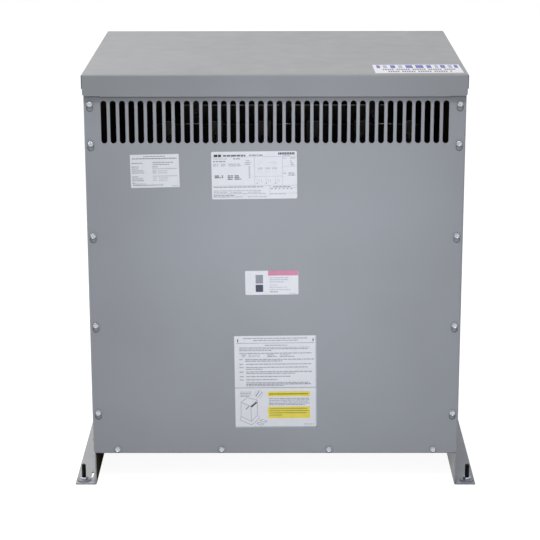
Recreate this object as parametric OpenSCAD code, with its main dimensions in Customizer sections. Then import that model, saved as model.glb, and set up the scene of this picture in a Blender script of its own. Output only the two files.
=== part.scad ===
// Floor-standing dry-type transformer in a ventilated sheet-steel enclosure.
// Origin on the floor under the middle of the body, +Z up, front towards -Y.

/* [Body] */
// Width over a cover's side returns
cover_w = 788; // [780:1:880]
// Depth over the front and rear covers
body_d = 610; // [570:1:700]
// Height of the roof above the floor
body_h = 902.5; // [880:0.5:1000]
// Height of the covers' lower edge above the floor
cover_bottom = 73.8; // [66:0.1:80]
// Height of the covers' upper edge below the roof
cover_tuck = 10; // [8:1:14]

/* [Sheet] */
// Thickness of the roof and cover sheet
cover_t = 1.9; // [1.5:0.1:2.2]
// Thickness of the side panel, rail and sill sheet
panel_t = 2.5; // [2:0.1:3]
// Inside radius of the folds
fold_r = 1.6; // [1:0.1:2.2]
// Play between a cover's side returns and the side panels
return_play = 0.6; // [0.3:0.1:1]
// Depth of a cover's side returns
return_d = 25; // [20:1:40]
// Depth of a cover's bottom return
bottom_return_d = 18; // [12:1:28]
// Width of the side panels' front and rear flanges
flange_w = 32; // [30:0.5:32.5]
// Width of the side panels' top flange
top_flange_w = 35; // [30:1:50]

/* [Roof] */
// Distance from a cover's face to the skirt's face
roof_front_lap = 4; // [4:0.1:8]
// Distance from a cover's side to the roof's side
roof_side_lap = 3.75; // [3:0.05:8]
// Height of the front and rear skirts down to the hem's fold
front_skirt_h = 46; // [36:1:48]
// Height of the side skirts
side_skirt_h = 30; // [20:1:40]
// Distance that the front skirt's ends stay inside the roof's sides
skirt_inset = 2.3; // [1.5:0.1:4]
// Distance from the skirts' ends to the hem's ends
hem_end = 35.5; // [10:0.5:120]
// Height of the hem's inner layer
hem_h = 9; // [6:1:14]
// Cut at the skirts' lower corners
skirt_cut = 3; // [1:0.5:8]
// Radius of the roof studs
roof_stud_r = 3; // [2.5:0.1:4]
// Length of the roof studs
roof_stud_l = 16; // [14:1:24]
// Distance of the roof studs from the side panel's face
roof_stud_in = 20; // [16:1:24]
// Distance of the outer roof studs from the cover's face
roof_stud_end = 85; // [60:1:160]

/* [Vent slots] */
// Least distance from a cover's side to the middle of its last slot
slot_margin = 41; // [34:1:120]
// Distance from slot to slot
slot_pitch = 19.05; // [16:0.05:24]
// Width of a slot
slot_w = 12.4; // [8:0.1:12.6]
// Height of a slot
slot_h = 89.6; // [50:0.1:120]
// Distance from the roof's top to the slots' upper ends
slot_drop = 54.3; // [50:0.1:70]

/* [Cover screws] */
// Distance of the side screws from the cover's side
screw_edge = 13; // [12.5:0.1:14]
// Height of the lowest side screw above the cover's lower edge
first_screw_rise = 93.7; // [70:0.1:160]
// Height of the second side screw above the cover's lower edge
second_screw_rise = 290.5; // [200:0.1:380]
// Height of the third side screw above the cover's lower edge
third_screw_rise = 487.6; // [420:0.1:600]
// Distance of the fourth side screw below the roof's top
fourth_screw_drop = 144.5; // [110:0.1:190]
// Distance of the highest side screw below the roof's top
fifth_screw_drop = 61.6; // [50:0.1:80]
// Distance of the inner bottom screws from the middle
inner_screw_x = 116; // [60:0.1:200]
// Distance of the outer bottom screws from the cover's side
outer_screw_in = 53; // [39:0.1:150]
// Height of the bottom screws above the cover's lower edge
bottom_screw_rise = 10; // [9.8:0.1:14]
// Radius of the holes at the bottom screws, which run down to the fold
bottom_hole_r = 4; // [3.6:0.1:5]
// Height of their lower ends above the cover's lower edge
bottom_hole_rise = 1; // [0.8:0.1:3]
// Radius of a cover screw's shank
screw_r = 3; // [2.5:0.1:3.4]
// Length of a cover screw's shank
screw_l = 14; // [12:0.5:20]
// Radius of a cover screw's washer face
screw_face_r = 6.2; // [6:0.1:7]
// Thickness of a cover screw's washer face
screw_face_t = 1.3; // [0.8:0.1:2]
// Width across the flats of a cover screw's head
screw_af = 9.5; // [8:0.1:10.5]
// Height of a cover screw's head above its washer face
screw_head_h = 4.2; // [3:0.1:6]
// Radius of the wide end of a keyhole
keyhole_r = 7.15; // [7.05:0.05:7.6]
// Distance from the screw to the middle of the keyhole's wide end
keyhole_drop = 8.6; // [8:0.1:12]
// Width across the flats of a weld nut
weld_nut_af = 10; // [8.5:0.1:10.4]
// Height of a weld nut
weld_nut_h = 5; // [4:0.1:8]
// Height above the floor of the screw through each side return
side_screw_z = 102; // [90:0.5:106]
// Distance of that screw from the cover's face
side_screw_in = 12.5; // [11:0.5:16]
// Radius of its shank
side_screw_r = 2.2; // [2:0.1:2.6]
// Radius of its head
side_screw_head_r = 3.8; // [3.4:0.1:5.5]
// Radius of the flat on its head
side_screw_flat_r = 3; // [2.6:0.1:3.3]
// Height of its head
side_screw_head_h = 1.8; // [1.2:0.1:4]

/* [Rails and sills] */
// Height of a sill
sill_h = 36.5; // [35:0.5:46]
// Depth of a sill's top flange
sill_flange_d = 40; // [20:1:60]
// Gap between the fold of a cover's bottom return and the sill
sill_gap = 0.3; // [0.2:0.1:1]
// Height of a top rail
rail_h = 30; // [26:1:34]
// Depth of a top rail's top flange
rail_flange_d = 35; // [20:1:50]
// Depth of the lugs that join rails and sills to the side panels
lug_d = 28; // [26:1:40]
// Gap between the ends of the side panels' flanges and the rails
flange_gap = 0.5; // [0.3:0.1:1.5]

/* [Feet] */
// Width of the foot flange beyond the side panel's face
foot_w = 44; // [40:1:60]
// Distance of a stud from the foot's outer edge
stud_edge = 16.5; // [15:0.5:18]
// Distance of a stud from the foot's end
stud_end = 22; // [16:0.5:30]
// Radius of a stud
stud_r = 4.76; // [3:0.01:5]
// Height of a stud's top above the floor
stud_h = 39.6; // [20:0.1:60]
// Bevel on a stud's end
stud_bevel = 1.2; // [0.6:0.1:1.6]
// Radius of the stud's head, let flush into the foot
stud_head_r = 7; // [6:0.1:9]
// Thickness of the stud's head
stud_head_t = 1.2; // [0.8:0.1:1.4]
// Radius of a foot washer
foot_washer_r = 14.5; // [9:0.1:14.7]
// Thickness of a foot washer
foot_washer_t = 2.4; // [1.5:0.1:4]
// Width across the flats of a foot nut
foot_nut_af = 14.3; // [12.7:0.1:18]
// Height of a foot nut
foot_nut_h = 6.1; // [5:0.1:10]
// Radius of a hold-down slot's ends
anchor_r = 2.4; // [2.2:0.1:3.2]
// Length of a hold-down slot
anchor_l = 31.8; // [12:0.1:40]
// Distance of a hold-down slot from the side panel's face
anchor_in = 12; // [8.5:0.1:12]
// Distance from the foot's end to the middle of a hold-down slot
anchor_end = 53.7; // [40:0.1:70]

/* [Base] */
// Height of a base channel's top above the floor
channel_top = 132; // [128:1:140]
// Height of a base channel
channel_h = 40; // [36:1:50]
// Width of a base channel
channel_w = 60; // [56:1:80]
// Thickness of a base channel
channel_t = 3; // [2.5:0.5:5]
// Distance of the base channels from the middle
channel_y = 95; // [90:1:96]
// Distance of a base bolt from the channel's middle
base_bolt_y = 15; // [12:0.5:16]
// Height of the base bolts below the channel's top
base_bolt_drop = 22; // [18:0.5:26]
// Radius of the bolts' shanks
bolt_r = 4.8; // [4:0.1:5]
// Width across the flats of the bolts and nuts
bolt_af = 15; // [14:0.1:16]
// Height of a bolt's head
bolt_head_h = 6; // [5:0.1:8]
// Height of a nut
nut_h = 7; // [6:0.1:9]
// Length of an isolation pad
pad_l = 60; // [50:1:90]
// Width of an isolation pad
pad_w = 44; // [40:1:54]
// Height of an isolation pad
pad_h = 20; // [12:1:24]
// Distance of the isolation pads from the middle
pad_x = 190; // [150:1:230]

/* [Core] */
// Gap between the outer coils and the side panels
coil_room = 86.7; // [86:0.1:110]
// Gap between two coils
coil_gap = 13.4; // [10:0.1:40]
// Depth of the lamination stack
stack_d = 120; // [100:1:120]
// Distance from the bars' tops to the roof's top
head_room = 134.5; // [100:0.5:200]
// Height of the bars' tops above the upper clamps
bar_rise = 96; // [90:1:110]
// Height of a yoke
yoke_h = 96; // [80:1:100]
// Gap between the clamps' ends and the side panels
clamp_room = 51; // [44:1:53]
// Thickness of a clamp channel
clamp_t = 6; // [5:0.5:7]
// Height that a clamp stands past its yoke
clamp_over = 4; // [2:1:6]
// Width of a clamp's flanges
clamp_flange_w = 60; // [58:1:62]
// Distance of a tie rod from the clamps' ends
tie_rod_in = 20; // [14:1:24]
// Radius of a tie rod
tie_rod_r = 6; // [5:0.1:7]
// Distance of the outer yoke bolts from the core's ends
yoke_bolt_out = 36; // [20:1:46]

/* [Coils] */
// Play between a leg and the coil former around it
former_play = 0.5; // [0.4:0.1:1]
// Thickness of a coil former
former_t = 2.5; // [2:0.1:3]
// Thickness of a low-voltage winding
low_build = 14; // [10:0.5:15]
// Width of the cooling duct between the windings
duct_w = 10; // [8:0.5:10]
// Thickness of a high-voltage winding
high_build = 21; // [15:0.5:21]
// Play around the windings and the duct sticks
wind_play = 0.3; // [0.2:0.05:0.4]
// Height of the blocks above and below the coils
block_h = 20; // [18:1:24]
// Width of a block
block_w = 28; // [20:1:28]
// Width of a duct stick
stick_w = 8; // [6:0.5:10]
// Thickness of a phase barrier
barrier_t = 3; // [2:0.5:5]

/* [Terminals] */
// Width of a terminal bar
bar_w = 26; // [20:1:26]
// Thickness of a terminal bar
bar_t = 4; // [3:0.5:5]
// Inside radius of the bars' bends
bar_bend_r = 3; // [2:0.5:4]
// Distance from a coil's side to the middle of its high-voltage bar
high_bar_in = 15.3; // [13.3:0.1:16.3]
// Gap between a block and the high-voltage bar beside it
block_gap = 4; // [2:0.5:8]
// Gap between a block and the low-voltage bar beside it
bar_gap = 1; // [0.5:0.1:6]
// Distance of the terminal board's front face from the middle
board_y = 133; // [128:1:150]
// Thickness of the terminal board
board_t = 10; // [6:1:14]
// Height of the terminal board
board_h = 52; // [40:1:60]
// Distance from the bars' tops to the board's top
board_drop = 4; // [2:1:8]
// Distance from the bars' tops to the terminal bolts
terminal_drop = 30; // [22:1:34]
// Radius of the terminal bolts
terminal_bolt_r = 4; // [3:0.1:4.5]
// Width of a tap board
tap_board_w = 40; // [30:1:60]
// Distance from a coil's ends to a tap board's ends
tap_board_end = 21; // [10:1:60]
// Thickness of a tap board
tap_board_t = 6; // [4:0.5:10]
// Least distance from a tap board's end to its last tap
tap_end = 25; // [8:1:40]
// Distance between two taps
tap_pitch = 24; // [20:1:40]

/* [Hidden] */
$fn = 48;

// Colours of the finishes
grey_paint = [0.55, 0.565, 0.59];
zinc = [0.78, 0.79, 0.8];
black_oxide = [0.08, 0.08, 0.09];
black_enamel = [0.09, 0.09, 0.09];
core_steel = [0.3, 0.32, 0.36];
varnish = [0.2, 0.14, 0.08];
insulation_board = [0.2, 0.15, 0.13];
tinned_bar = [0.75, 0.74, 0.72];
rubber_black = [0.12, 0.12, 0.12];

// Play around every shank in its hole
hole_play = 0.3;

// Run of a folded leg that lies inside the sheet it stands on
seam = 1;

// Faces of the enclosure
cover_y = body_d / 2;
frame_y = cover_y - cover_t;
web_out = cover_w / 2 - cover_t - return_play;
web_in = web_out - panel_t;
roof_in = body_h - cover_t;
cover_top = body_h - cover_tuck;
sill_z0 = cover_bottom + cover_t + fold_r + sill_gap;
sill_z1 = sill_z0 + sill_h;
rail_z0 = roof_in - rail_h;
flange_z0 = sill_z1 + flange_gap;
flange_z1 = rail_z0 - flange_gap;
foot_out = web_out + foot_w;
stud_x = foot_out - stud_edge;
stud_y = frame_y - stud_end;
anchor_x = web_out + anchor_in;
anchor_y = frame_y - anchor_end;
roof_stud_x = web_out - roof_stud_in;
roof_stud_y = cover_y - roof_stud_end;
slot_z1 = body_h - slot_drop;
slot_z0 = slot_z1 - slot_h;
slot_count = floor((cover_w - 2 * slot_margin) / slot_pitch) + 1;
slot_first_x = -(slot_count - 1) / 2 * slot_pitch;
screw_x = cover_w / 2 - screw_edge;
bottom_screw_z = cover_bottom + bottom_screw_rise;
side_screw_zs = [
    cover_bottom + first_screw_rise, cover_bottom + second_screw_rise, cover_bottom + third_screw_rise,
    body_h - fourth_screw_drop, body_h - fifth_screw_drop
];
side_screw_places = [for (side = [-1, 1]) for (z = side_screw_zs) [side * screw_x, z]];
bottom_screw_places = [
    for (side = [-1, 1]) for (x = [inner_screw_x, cover_w / 2 - outer_screw_in]) [side * x, bottom_screw_z]
];
screw_places = concat(side_screw_places, bottom_screw_places);

// Levels and faces of the core and the coils
clamp_z0 = channel_top + pad_h;
clamp_h = yoke_h + 2 * clamp_over;
core_z0 = clamp_z0 + clamp_over;
window_z0 = core_z0 + yoke_h;
bar_top = body_h - head_room;
upper_clamp_z0 = bar_top - bar_rise - clamp_h;
window_z1 = upper_clamp_z0 + clamp_over;
window_h = window_z1 - window_z0;
coil_z0 = clamp_z0 + clamp_h + block_h;
coil_z1 = upper_clamp_z0 - block_h;
coil_h = coil_z1 - coil_z0;
core_y = stack_d / 2;
coil_w = 2 * (web_in - coil_room - coil_gap) / 3;
coil_build = former_play + former_t + wind_play + low_build + duct_w + high_build;
leg_w = coil_w - 2 * coil_build;
leg_pitch = coil_w + coil_gap;
leg_xs = [-leg_pitch, 0, leg_pitch];
clamp_l = 2 * (web_in - clamp_room);
tie_rod_x = clamp_l / 2 - tie_rod_in;
yoke_bolt_x = leg_pitch + leg_w / 2 + yoke_bolt_out;
former_in_w = leg_w + 2 * former_play;
former_in_d = stack_d + 2 * former_play;
former_out_w = former_in_w + 2 * former_t;
former_out_d = former_in_d + 2 * former_t;
low_in_w = former_out_w + 2 * wind_play;
low_in_d = former_out_d + 2 * wind_play;
low_out_w = low_in_w + 2 * low_build;
low_out_d = low_in_d + 2 * low_build;
high_in_w = low_out_w + 2 * duct_w;
high_in_d = low_out_d + 2 * duct_w;
high_out_w = high_in_w + 2 * high_build;
high_out_d = high_in_d + 2 * high_build;
former_bore_r = 2 * former_play;
low_corner_r = former_bore_r + former_t + wind_play;
high_corner_r = low_corner_r + low_build + duct_w;
clamp_edge_y = core_y + clamp_flange_w;
pad_bolt_y = channel_y;
high_bar_x = high_out_w / 2 - high_bar_in;
block_x = high_bar_x - bar_w / 2 - block_gap - block_w / 2;
low_bar_x = bar_w / 2 + bar_gap + block_w / 2 - block_x;
board_top = bar_top - board_drop;
terminal_z = bar_top - terminal_drop;
tap_board_h = coil_h - 2 * tap_board_end;
tap_count = floor((tap_board_h - 2 * tap_end) / tap_pitch) + 1;
tap_first_z = (coil_z0 + coil_z1) / 2 - (tap_count - 1) / 2 * tap_pitch;

// Extrudes an outline drawn in Y and Z along X, about the middle
module along_x(length) {
    rotate([90, 0, 90]) linear_extrude(length, center = true) children();
}

// Extrudes an outline drawn in X and Z along Y, about the middle
module along_y(length) {
    rotate([90, 0, 0]) linear_extrude(length, center = true) children();
}

// The same thing on both sides of the middle plane between left and right
module both_sides() {
    children();
    mirror([1, 0, 0]) children();
}

// The same thing at the front and turned round at the rear
module front_and_rear() {
    children();
    mirror([0, 1, 0]) children();
}

// Section of a strip folded square: a straight run, a quarter bend to the left (1) or right (-1), and so on
module folded_section(runs, turns, t, r, i = 0) {
    if (runs[i] > 0) square([runs[i], t]);
    if (i < len(turns)) {
        if (turns[i] > 0) {
            translate([runs[i], t + r]) mirror([0, 1]) quarter_ring(t, r);
            translate([runs[i] + t + r, t + r]) rotate(90) folded_section(runs, turns, t, r, i + 1);
        } else {
            translate([runs[i], -r]) quarter_ring(t, r);
            translate([runs[i] + r, -r]) rotate(-90) folded_section(runs, turns, t, r, i + 1);
        }
    }
}

module quarter_ring(t, r) {
    intersection() {
        difference() {
            circle(r + t);
            circle(r);
        }
        square(r + t);
    }
}

// Bend and leg that stand off the edge of a flat sheet, with a short run inside the sheet
module fold_leg(depth, t) {
    translate([-seam, 0]) folded_section([seam, depth - fold_r - t], [1], t, fold_r);
}

// Flat sheet with folded edges: its outer face on y = 0, its folds towards +Y.
// The bottom and top folds stop short of the side panels, which notches the corners.
// The children are outlines in X and Z that are cut from the face.
module folded_pan(w, z0, z1, t, sides, bottom, top) {
    fold_w = 2 * (web_in - return_play) - (w < 2 * web_out ? 2 * (fold_r + t) : 0);
    edge = fold_r + t;
    face_x = w / 2 - (sides > 0 ? edge : 0);
    face_z0 = z0 + (bottom > 0 ? edge : 0);
    face_z1 = z1 - (top > 0 ? edge : 0);
    translate([0, t, 0]) rotate([90, 0, 0]) linear_extrude(t) difference() {
        translate([-face_x, face_z0]) square([2 * face_x, face_z1 - face_z0]);
        children();
    }
    if (sides > 0) both_sides() translate([face_x, 0, face_z0])
        linear_extrude(face_z1 - face_z0) fold_leg(sides, t);
    if (bottom > 0) along_x(fold_w) translate([0, face_z0]) rotate(-90) fold_leg(bottom, t);
    if (top > 0) along_x(fold_w) translate([0, face_z1]) mirror([0, 1]) rotate(-90) fold_leg(top, t);
}

// Slot with round ends, standing on its lower end
module upright_slot(w, h) {
    translate([-w / 2, w / 2]) square([w, h - w]);
    translate([0, w / 2]) circle(w / 2);
    translate([0, h - w / 2]) circle(w / 2);
}

module keyhole() {
    neck_r = screw_r + 2 * hole_play;
    circle(neck_r);
    translate([-neck_r, -keyhole_drop]) square([2 * neck_r, keyhole_drop]);
    translate([0, -keyhole_drop]) circle(keyhole_r);
}

module hexagon(af, h) {
    cylinder(r = af / 2 / cos(30), h = h, $fn = 6);
}

// Bolt with its head above z = 0 and its shank below
module hex_bolt(r, l, af, head_h) {
    hexagon(af, head_h);
    translate([0, 0, -l]) cylinder(r = r, h = l + head_h / 2);
}

module hex_nut(r, af, h) {
    difference() {
        hexagon(af, h);
        translate([0, 0, -1]) cylinder(r = r + hole_play, h = h + 2);
    }
}

module cover_screw() {
    cylinder(r = screw_face_r, h = screw_face_t);
    translate([0, 0, screw_face_t / 2]) hexagon(screw_af, screw_head_h + screw_face_t / 2);
    translate([0, 0, -screw_l]) cylinder(r = screw_r, h = screw_l + screw_face_t / 2);
}

// Skirt along the roof's rear edge, hanging from its bend, with the hem folded up behind it
module end_skirt() {
    skirt_w = cover_w + 2 * (roof_side_lap - skirt_inset);
    skirt_y = cover_y + roof_front_lap;
    hem_z = body_h - front_skirt_h + cover_t;
    hem_w = skirt_w - 2 * hem_end;
    along_x(skirt_w) translate([skirt_y - fold_r - cover_t, roof_in])
        folded_section([0, 0], [-1], cover_t, fold_r);
    translate([0, skirt_y, 0]) rotate([90, 0, 0]) linear_extrude(cover_t)
        skirt_outline(skirt_w, hem_z);
    along_x(hem_w) {
        translate([skirt_y - cover_t, hem_z]) intersection() {
            circle(cover_t);
            translate([-cover_t, -cover_t]) square([2 * cover_t, cover_t]);
        }
        translate([skirt_y - 2 * cover_t, hem_z]) square([cover_t, hem_h]);
    }
}

module skirt_outline(w, z0) {
    z1 = roof_in - fold_r;
    polygon([
        [-w / 2 + skirt_cut, z0], [w / 2 - skirt_cut, z0], [w / 2, z0 + skirt_cut],
        [w / 2, z1], [-w / 2, z1], [-w / 2, z0 + skirt_cut]
    ]);
}

module roof_cover() {
    edge = fold_r + cover_t;
    roof_x = cover_w / 2 + roof_side_lap;
    roof_y = cover_y + roof_front_lap;
    color(grey_paint) {
        translate([-roof_x + edge, -roof_y + edge, roof_in])
            cube([2 * (roof_x - edge), 2 * (roof_y - edge), cover_t]);
        both_sides() along_y(2 * (roof_y - edge)) translate([roof_x - edge, roof_in])
            folded_section([0, side_skirt_h - edge], [-1], cover_t, fold_r);
        front_and_rear() end_skirt();
        for (side = [-1, 1]) for (row = [-1, 0, 1])
            translate([side * roof_stud_x, row * roof_stud_y, roof_in - roof_stud_l])
                cylinder(r = roof_stud_r, h = roof_stud_l + cover_t / 2);
    }
}

module cover_cuts() {
    for (i = [0 : slot_count - 1])
        translate([slot_first_x + i * slot_pitch, slot_z0]) upright_slot(slot_w, slot_h);
    for (place = side_screw_places) translate(place) keyhole();
}

// Holes that start at the bottom screws and run down through the bend
module bottom_holes() {
    for (place = bottom_screw_places) translate([place[0], fold_r + cover_t - cover_y, cover_bottom])
        rotate([90, 0, 0]) linear_extrude(2 * (fold_r + cover_t)) translate([0, bottom_hole_rise])
            upright_slot(2 * bottom_hole_r, bottom_screw_rise + bottom_hole_r - bottom_hole_rise);
}

module cover() {
    color(grey_paint) difference() {
        translate([0, -cover_y, 0])
            folded_pan(cover_w, cover_bottom, cover_top, cover_t, return_d, bottom_return_d, 0) cover_cuts();
        side_screw_holes();
        bottom_holes();
    }
}

module side_screw_holes() {
    translate([-cover_w, side_screw_in - cover_y, side_screw_z]) rotate([0, 90, 0])
        cylinder(r = side_screw_r + hole_play, h = 2 * cover_w);
}

module front_cover() {
    cover();
}

module rear_cover() {
    mirror([0, 1, 0]) cover();
}

// Right side panel: top flange, web and foot in one section, with a flange folded in at the front and rear
module side_panel() {
    edge = fold_r + panel_t;
    top_run = top_flange_w - edge;
    web_run = roof_in - 2 * edge;
    foot_run = foot_w - fold_r;
    corner_h = roof_in - edge - flange_gap;
    color(grey_paint) difference() {
        union() {
            difference() {
                along_y(2 * (frame_y - fold_r)) translate([web_out - top_flange_w, roof_in - panel_t])
                    folded_section([top_run, web_run, foot_run], [-1, 1], panel_t, fold_r);
                front_and_rear() {
                    translate([web_in - fold_r, frame_y - edge, flange_z0])
                        cube([edge + 1, edge + 1, flange_z1 - flange_z0]);
                    translate([web_out - top_flange_w - 1, frame_y - rail_flange_d - flange_gap, corner_h])
                        cube([top_flange_w + 2, rail_flange_d + flange_gap + 1, edge + flange_gap + 1]);
                }
            }
            front_and_rear() translate([web_out - flange_w, -frame_y, flange_z0])
                linear_extrude(flange_z1 - flange_z0)
                    folded_section([flange_w - edge, 0], [1], panel_t, fold_r);
        }
        front_and_rear() {
            for (z = side_screw_zs) translate([screw_x, -frame_y - 1, z]) rotate([-90, 0, 0])
                cylinder(r = screw_r + hole_play, h = panel_t + 2);
            side_screw_holes();
            stud_hole();
        }
        anchor_slot();
        for (row = [-1, 0, 1]) translate([roof_stud_x, row * roof_stud_y, roof_in - panel_t - 1])
            cylinder(r = roof_stud_r + hole_play, h = panel_t + 2);
        for (place = base_bolt_places()) translate([web_in - 1, place[0], place[1]]) rotate([0, 90, 0])
            cylinder(r = bolt_r + hole_play, h = panel_t + 2);
    }
}

// Stud hole with its recess for the head
module stud_hole() {
    translate([stud_x, -stud_y, -1]) {
        cylinder(r = stud_r + hole_play, h = panel_t + 2);
        cylinder(r = stud_head_r + hole_play, h = stud_head_t + 1);
    }
}

// Hold-down slot, at one end of the foot only
module anchor_slot() {
    translate([anchor_x, anchor_y - anchor_l / 2, -1]) linear_extrude(panel_t + 2)
        upright_slot(2 * anchor_r, anchor_l);
}

// The left panel is the right one turned round
module side_panel_left() {
    mirror([1, 0, 0]) mirror([0, 1, 0]) side_panel();
}

module side_panel_right() {
    side_panel();
}

module top_rail() {
    color(grey_paint) translate([0, -frame_y, 0])
        folded_pan(2 * web_in, rail_z0, roof_in, panel_t, lug_d, 0, rail_flange_d);
}

module sill() {
    color(grey_paint) difference() {
        translate([0, -frame_y, 0])
            folded_pan(2 * web_in, sill_z0, sill_z1, panel_t, lug_d, 0, sill_flange_d)
                for (place = bottom_screw_places) translate(place) circle(screw_r + hole_play);
        side_screw_holes();
    }
}

module cover_screws() {
    color(zinc) for (place = screw_places)
        translate([place[0], -cover_y, place[1]]) rotate([90, 0, 0]) cover_screw();
}

module cover_weld_nuts() {
    color(zinc) front_and_rear() for (place = screw_places)
        translate([place[0], panel_t - frame_y, place[1]]) rotate([-90, 0, 0])
            hex_nut(screw_r, weld_nut_af, weld_nut_h);
}

module cover_side_screws() {
    shank_l = cover_w / 2 - web_in + panel_t + 1;
    color(grey_paint) both_sides() front_and_rear()
        translate([cover_w / 2, side_screw_in - cover_y, side_screw_z]) rotate([0, 90, 0]) {
            cylinder(r = side_screw_head_r, h = side_screw_head_h / 2);
            cylinder(r = side_screw_flat_r, h = side_screw_head_h);
            translate([0, 0, -shank_l]) cylinder(r = side_screw_r, h = shank_l + 1);
        }
}

module roof_nuts() {
    color(zinc) both_sides() for (row = [-1, 0, 1])
        translate([roof_stud_x, row * roof_stud_y, roof_in - panel_t - nut_h])
            hex_nut(roof_stud_r, weld_nut_af, nut_h);
}

module at_studs() {
    both_sides() front_and_rear() translate([stud_x, -stud_y, 0]) children();
}

module foot_studs() {
    color(black_oxide) at_studs() {
        cylinder(r = stud_head_r, h = stud_head_t);
        cylinder(r = stud_r, h = stud_h - stud_bevel);
        translate([0, 0, stud_h - stud_bevel])
            cylinder(r1 = stud_r, r2 = stud_r - stud_bevel, h = stud_bevel);
    }
}

module foot_washers() {
    color(zinc) at_studs() translate([0, 0, panel_t]) difference() {
        cylinder(r = foot_washer_r, h = foot_washer_t);
        translate([0, 0, -1]) cylinder(r = stud_r + hole_play, h = foot_washer_t + 2);
    }
}

module foot_nuts() {
    color(zinc) at_studs() translate([0, 0, panel_t + foot_washer_t])
        hex_nut(stud_r, foot_nut_af, foot_nut_h);
}

// Positions of the base bolts in Y and Z
function base_bolt_places() = [
    for (side = [-1, 1]) for (step = [-1, 1])
        [side * channel_y + step * base_bolt_y, channel_top - base_bolt_drop]
];

// Channel laid open side down, with a plate welded across each end
module base_channel() {
    leg_run = channel_h - channel_t - fold_r;
    top_run = channel_w - 2 * channel_t - 2 * fold_r;
    color(grey_paint) difference() {
        union() {
            along_x(2 * (web_in - channel_t))
                translate([-channel_y - channel_w / 2 + channel_t, channel_top - channel_h]) rotate(90)
                    folded_section([leg_run, top_run, leg_run], [-1, -1], channel_t, fold_r);
            both_sides() translate([web_in - channel_t, -channel_y - channel_w / 2, channel_top - channel_h])
                cube([channel_t, channel_w, channel_h]);
        }
        for (side = [-1, 1]) translate([side * pad_x, -pad_bolt_y, channel_top - channel_t - 1])
            cylinder(r = bolt_r + hole_play, h = channel_t + 2);
        for (place = base_bolt_places()) translate([-web_in - 1, place[0], place[1]]) rotate([0, 90, 0])
            cylinder(r = bolt_r + hole_play, h = 2 * web_in + 2);
        translate([strap_foot_x(), -channel_y, channel_top - channel_t - 1])
            cylinder(r = strap_bolt_r + hole_play, h = channel_t + 2);
    }
}

module base_bolts() {
    color(zinc) both_sides() for (place = base_bolt_places())
        translate([web_out, place[0], place[1]]) rotate([0, 90, 0])
            hex_bolt(bolt_r, panel_t + channel_t + nut_h + 2, bolt_af, bolt_head_h);
}

module base_nuts() {
    color(zinc) both_sides() for (place = base_bolt_places())
        translate([web_in - channel_t - nut_h, place[0], place[1]]) rotate([0, 90, 0])
            hex_nut(bolt_r, bolt_af, nut_h);
}

module at_pads() {
    both_sides() front_and_rear() translate([pad_x, -pad_bolt_y, 0]) children();
}

module isolation_pads() {
    color(rubber_black) at_pads() translate([0, 0, channel_top]) difference() {
        translate([-pad_l / 2, -pad_w / 2, 0]) cube([pad_l, pad_w, pad_h]);
        translate([0, 0, -1]) cylinder(r = bolt_r + hole_play, h = pad_h + 2);
    }
}

module pad_bolts() {
    color(zinc) at_pads() translate([0, 0, clamp_z0 + clamp_t])
        hex_bolt(bolt_r, clamp_t + pad_h + channel_t + nut_h + 2, bolt_af, bolt_head_h);
}

module pad_nuts() {
    color(zinc) at_pads() translate([0, 0, channel_top - channel_t - nut_h])
        hex_nut(bolt_r, bolt_af, nut_h);
}

// Middles of the bolts that go through a yoke, between the legs and past its ends
yoke_bolt_xs = [-yoke_bolt_x, -leg_pitch / 2, leg_pitch / 2, yoke_bolt_x];

module yoke(z0) {
    core_w = 2 * leg_pitch + leg_w;
    difference() {
        translate([-core_w / 2, -core_y, z0]) cube([core_w, stack_d, yoke_h]);
        for (side = [-1, 1]) translate([side * leg_pitch / 2, 0, z0 + yoke_h / 2]) rotate([90, 0, 0])
            cylinder(r = bolt_r + hole_play, h = stack_d + 2, center = true);
    }
}

module core_legs() {
    color(core_steel) {
        yoke(core_z0);
        for (x = leg_xs) translate([x - leg_w / 2, -core_y, window_z0 - 1])
            cube([leg_w, stack_d, window_h + 1]);
    }
}

module top_yoke() {
    color(core_steel) yoke(window_z1);
}

// Front clamp channel with its web on the yoke's face
module clamp(z0) {
    edge = 2 * clamp_t;
    color(black_enamel) difference() {
        along_x(clamp_l) translate([-clamp_edge_y, z0])
            folded_section([clamp_flange_w - edge, clamp_h - 2 * edge, clamp_flange_w - edge],
                [1, 1], clamp_t, clamp_t);
        for (x = yoke_bolt_xs) translate([x, -core_y - clamp_t - 1, z0 + clamp_h / 2]) rotate([-90, 0, 0])
            cylinder(r = bolt_r + hole_play, h = clamp_t + 2);
    }
}

module lower_clamp() {
    color(black_enamel) difference() {
        clamp(clamp_z0);
        for (side = [-1, 1]) {
            translate([side * pad_x, -pad_bolt_y, clamp_z0 - 1])
                cylinder(r = bolt_r + hole_play, h = clamp_t + 2);
            translate([side * tie_rod_x, -channel_y, clamp_z0 + clamp_h - clamp_t - 1])
                cylinder(r = tie_rod_r + hole_play, h = clamp_t + 2);
        }
        translate([strap_head_x(), -channel_y, clamp_z0 - 1])
            cylinder(r = strap_bolt_r + hole_play, h = clamp_t + 2);
    }
}

module upper_clamp() {
    color(black_enamel) difference() {
        clamp(upper_clamp_z0);
        for (side = [-1, 1]) translate([side * tie_rod_x, -channel_y, upper_clamp_z0 - 1])
            cylinder(r = tie_rod_r + hole_play, h = clamp_t + 2);
    }
}

module at_yoke_bolts() {
    for (z = [core_z0, window_z1]) for (x = yoke_bolt_xs)
        translate([x, 0, z + yoke_h / 2]) rotate([90, 0, 0]) children();
}

module yoke_bolts() {
    color(zinc) at_yoke_bolts() translate([0, 0, core_y + clamp_t])
        hex_bolt(bolt_r, stack_d + 2 * clamp_t + nut_h + 3, bolt_af, bolt_head_h);
}

module yoke_nuts() {
    color(zinc) at_yoke_bolts() translate([0, 0, -core_y - clamp_t - nut_h])
        hex_nut(bolt_r, bolt_af, nut_h);
}

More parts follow.
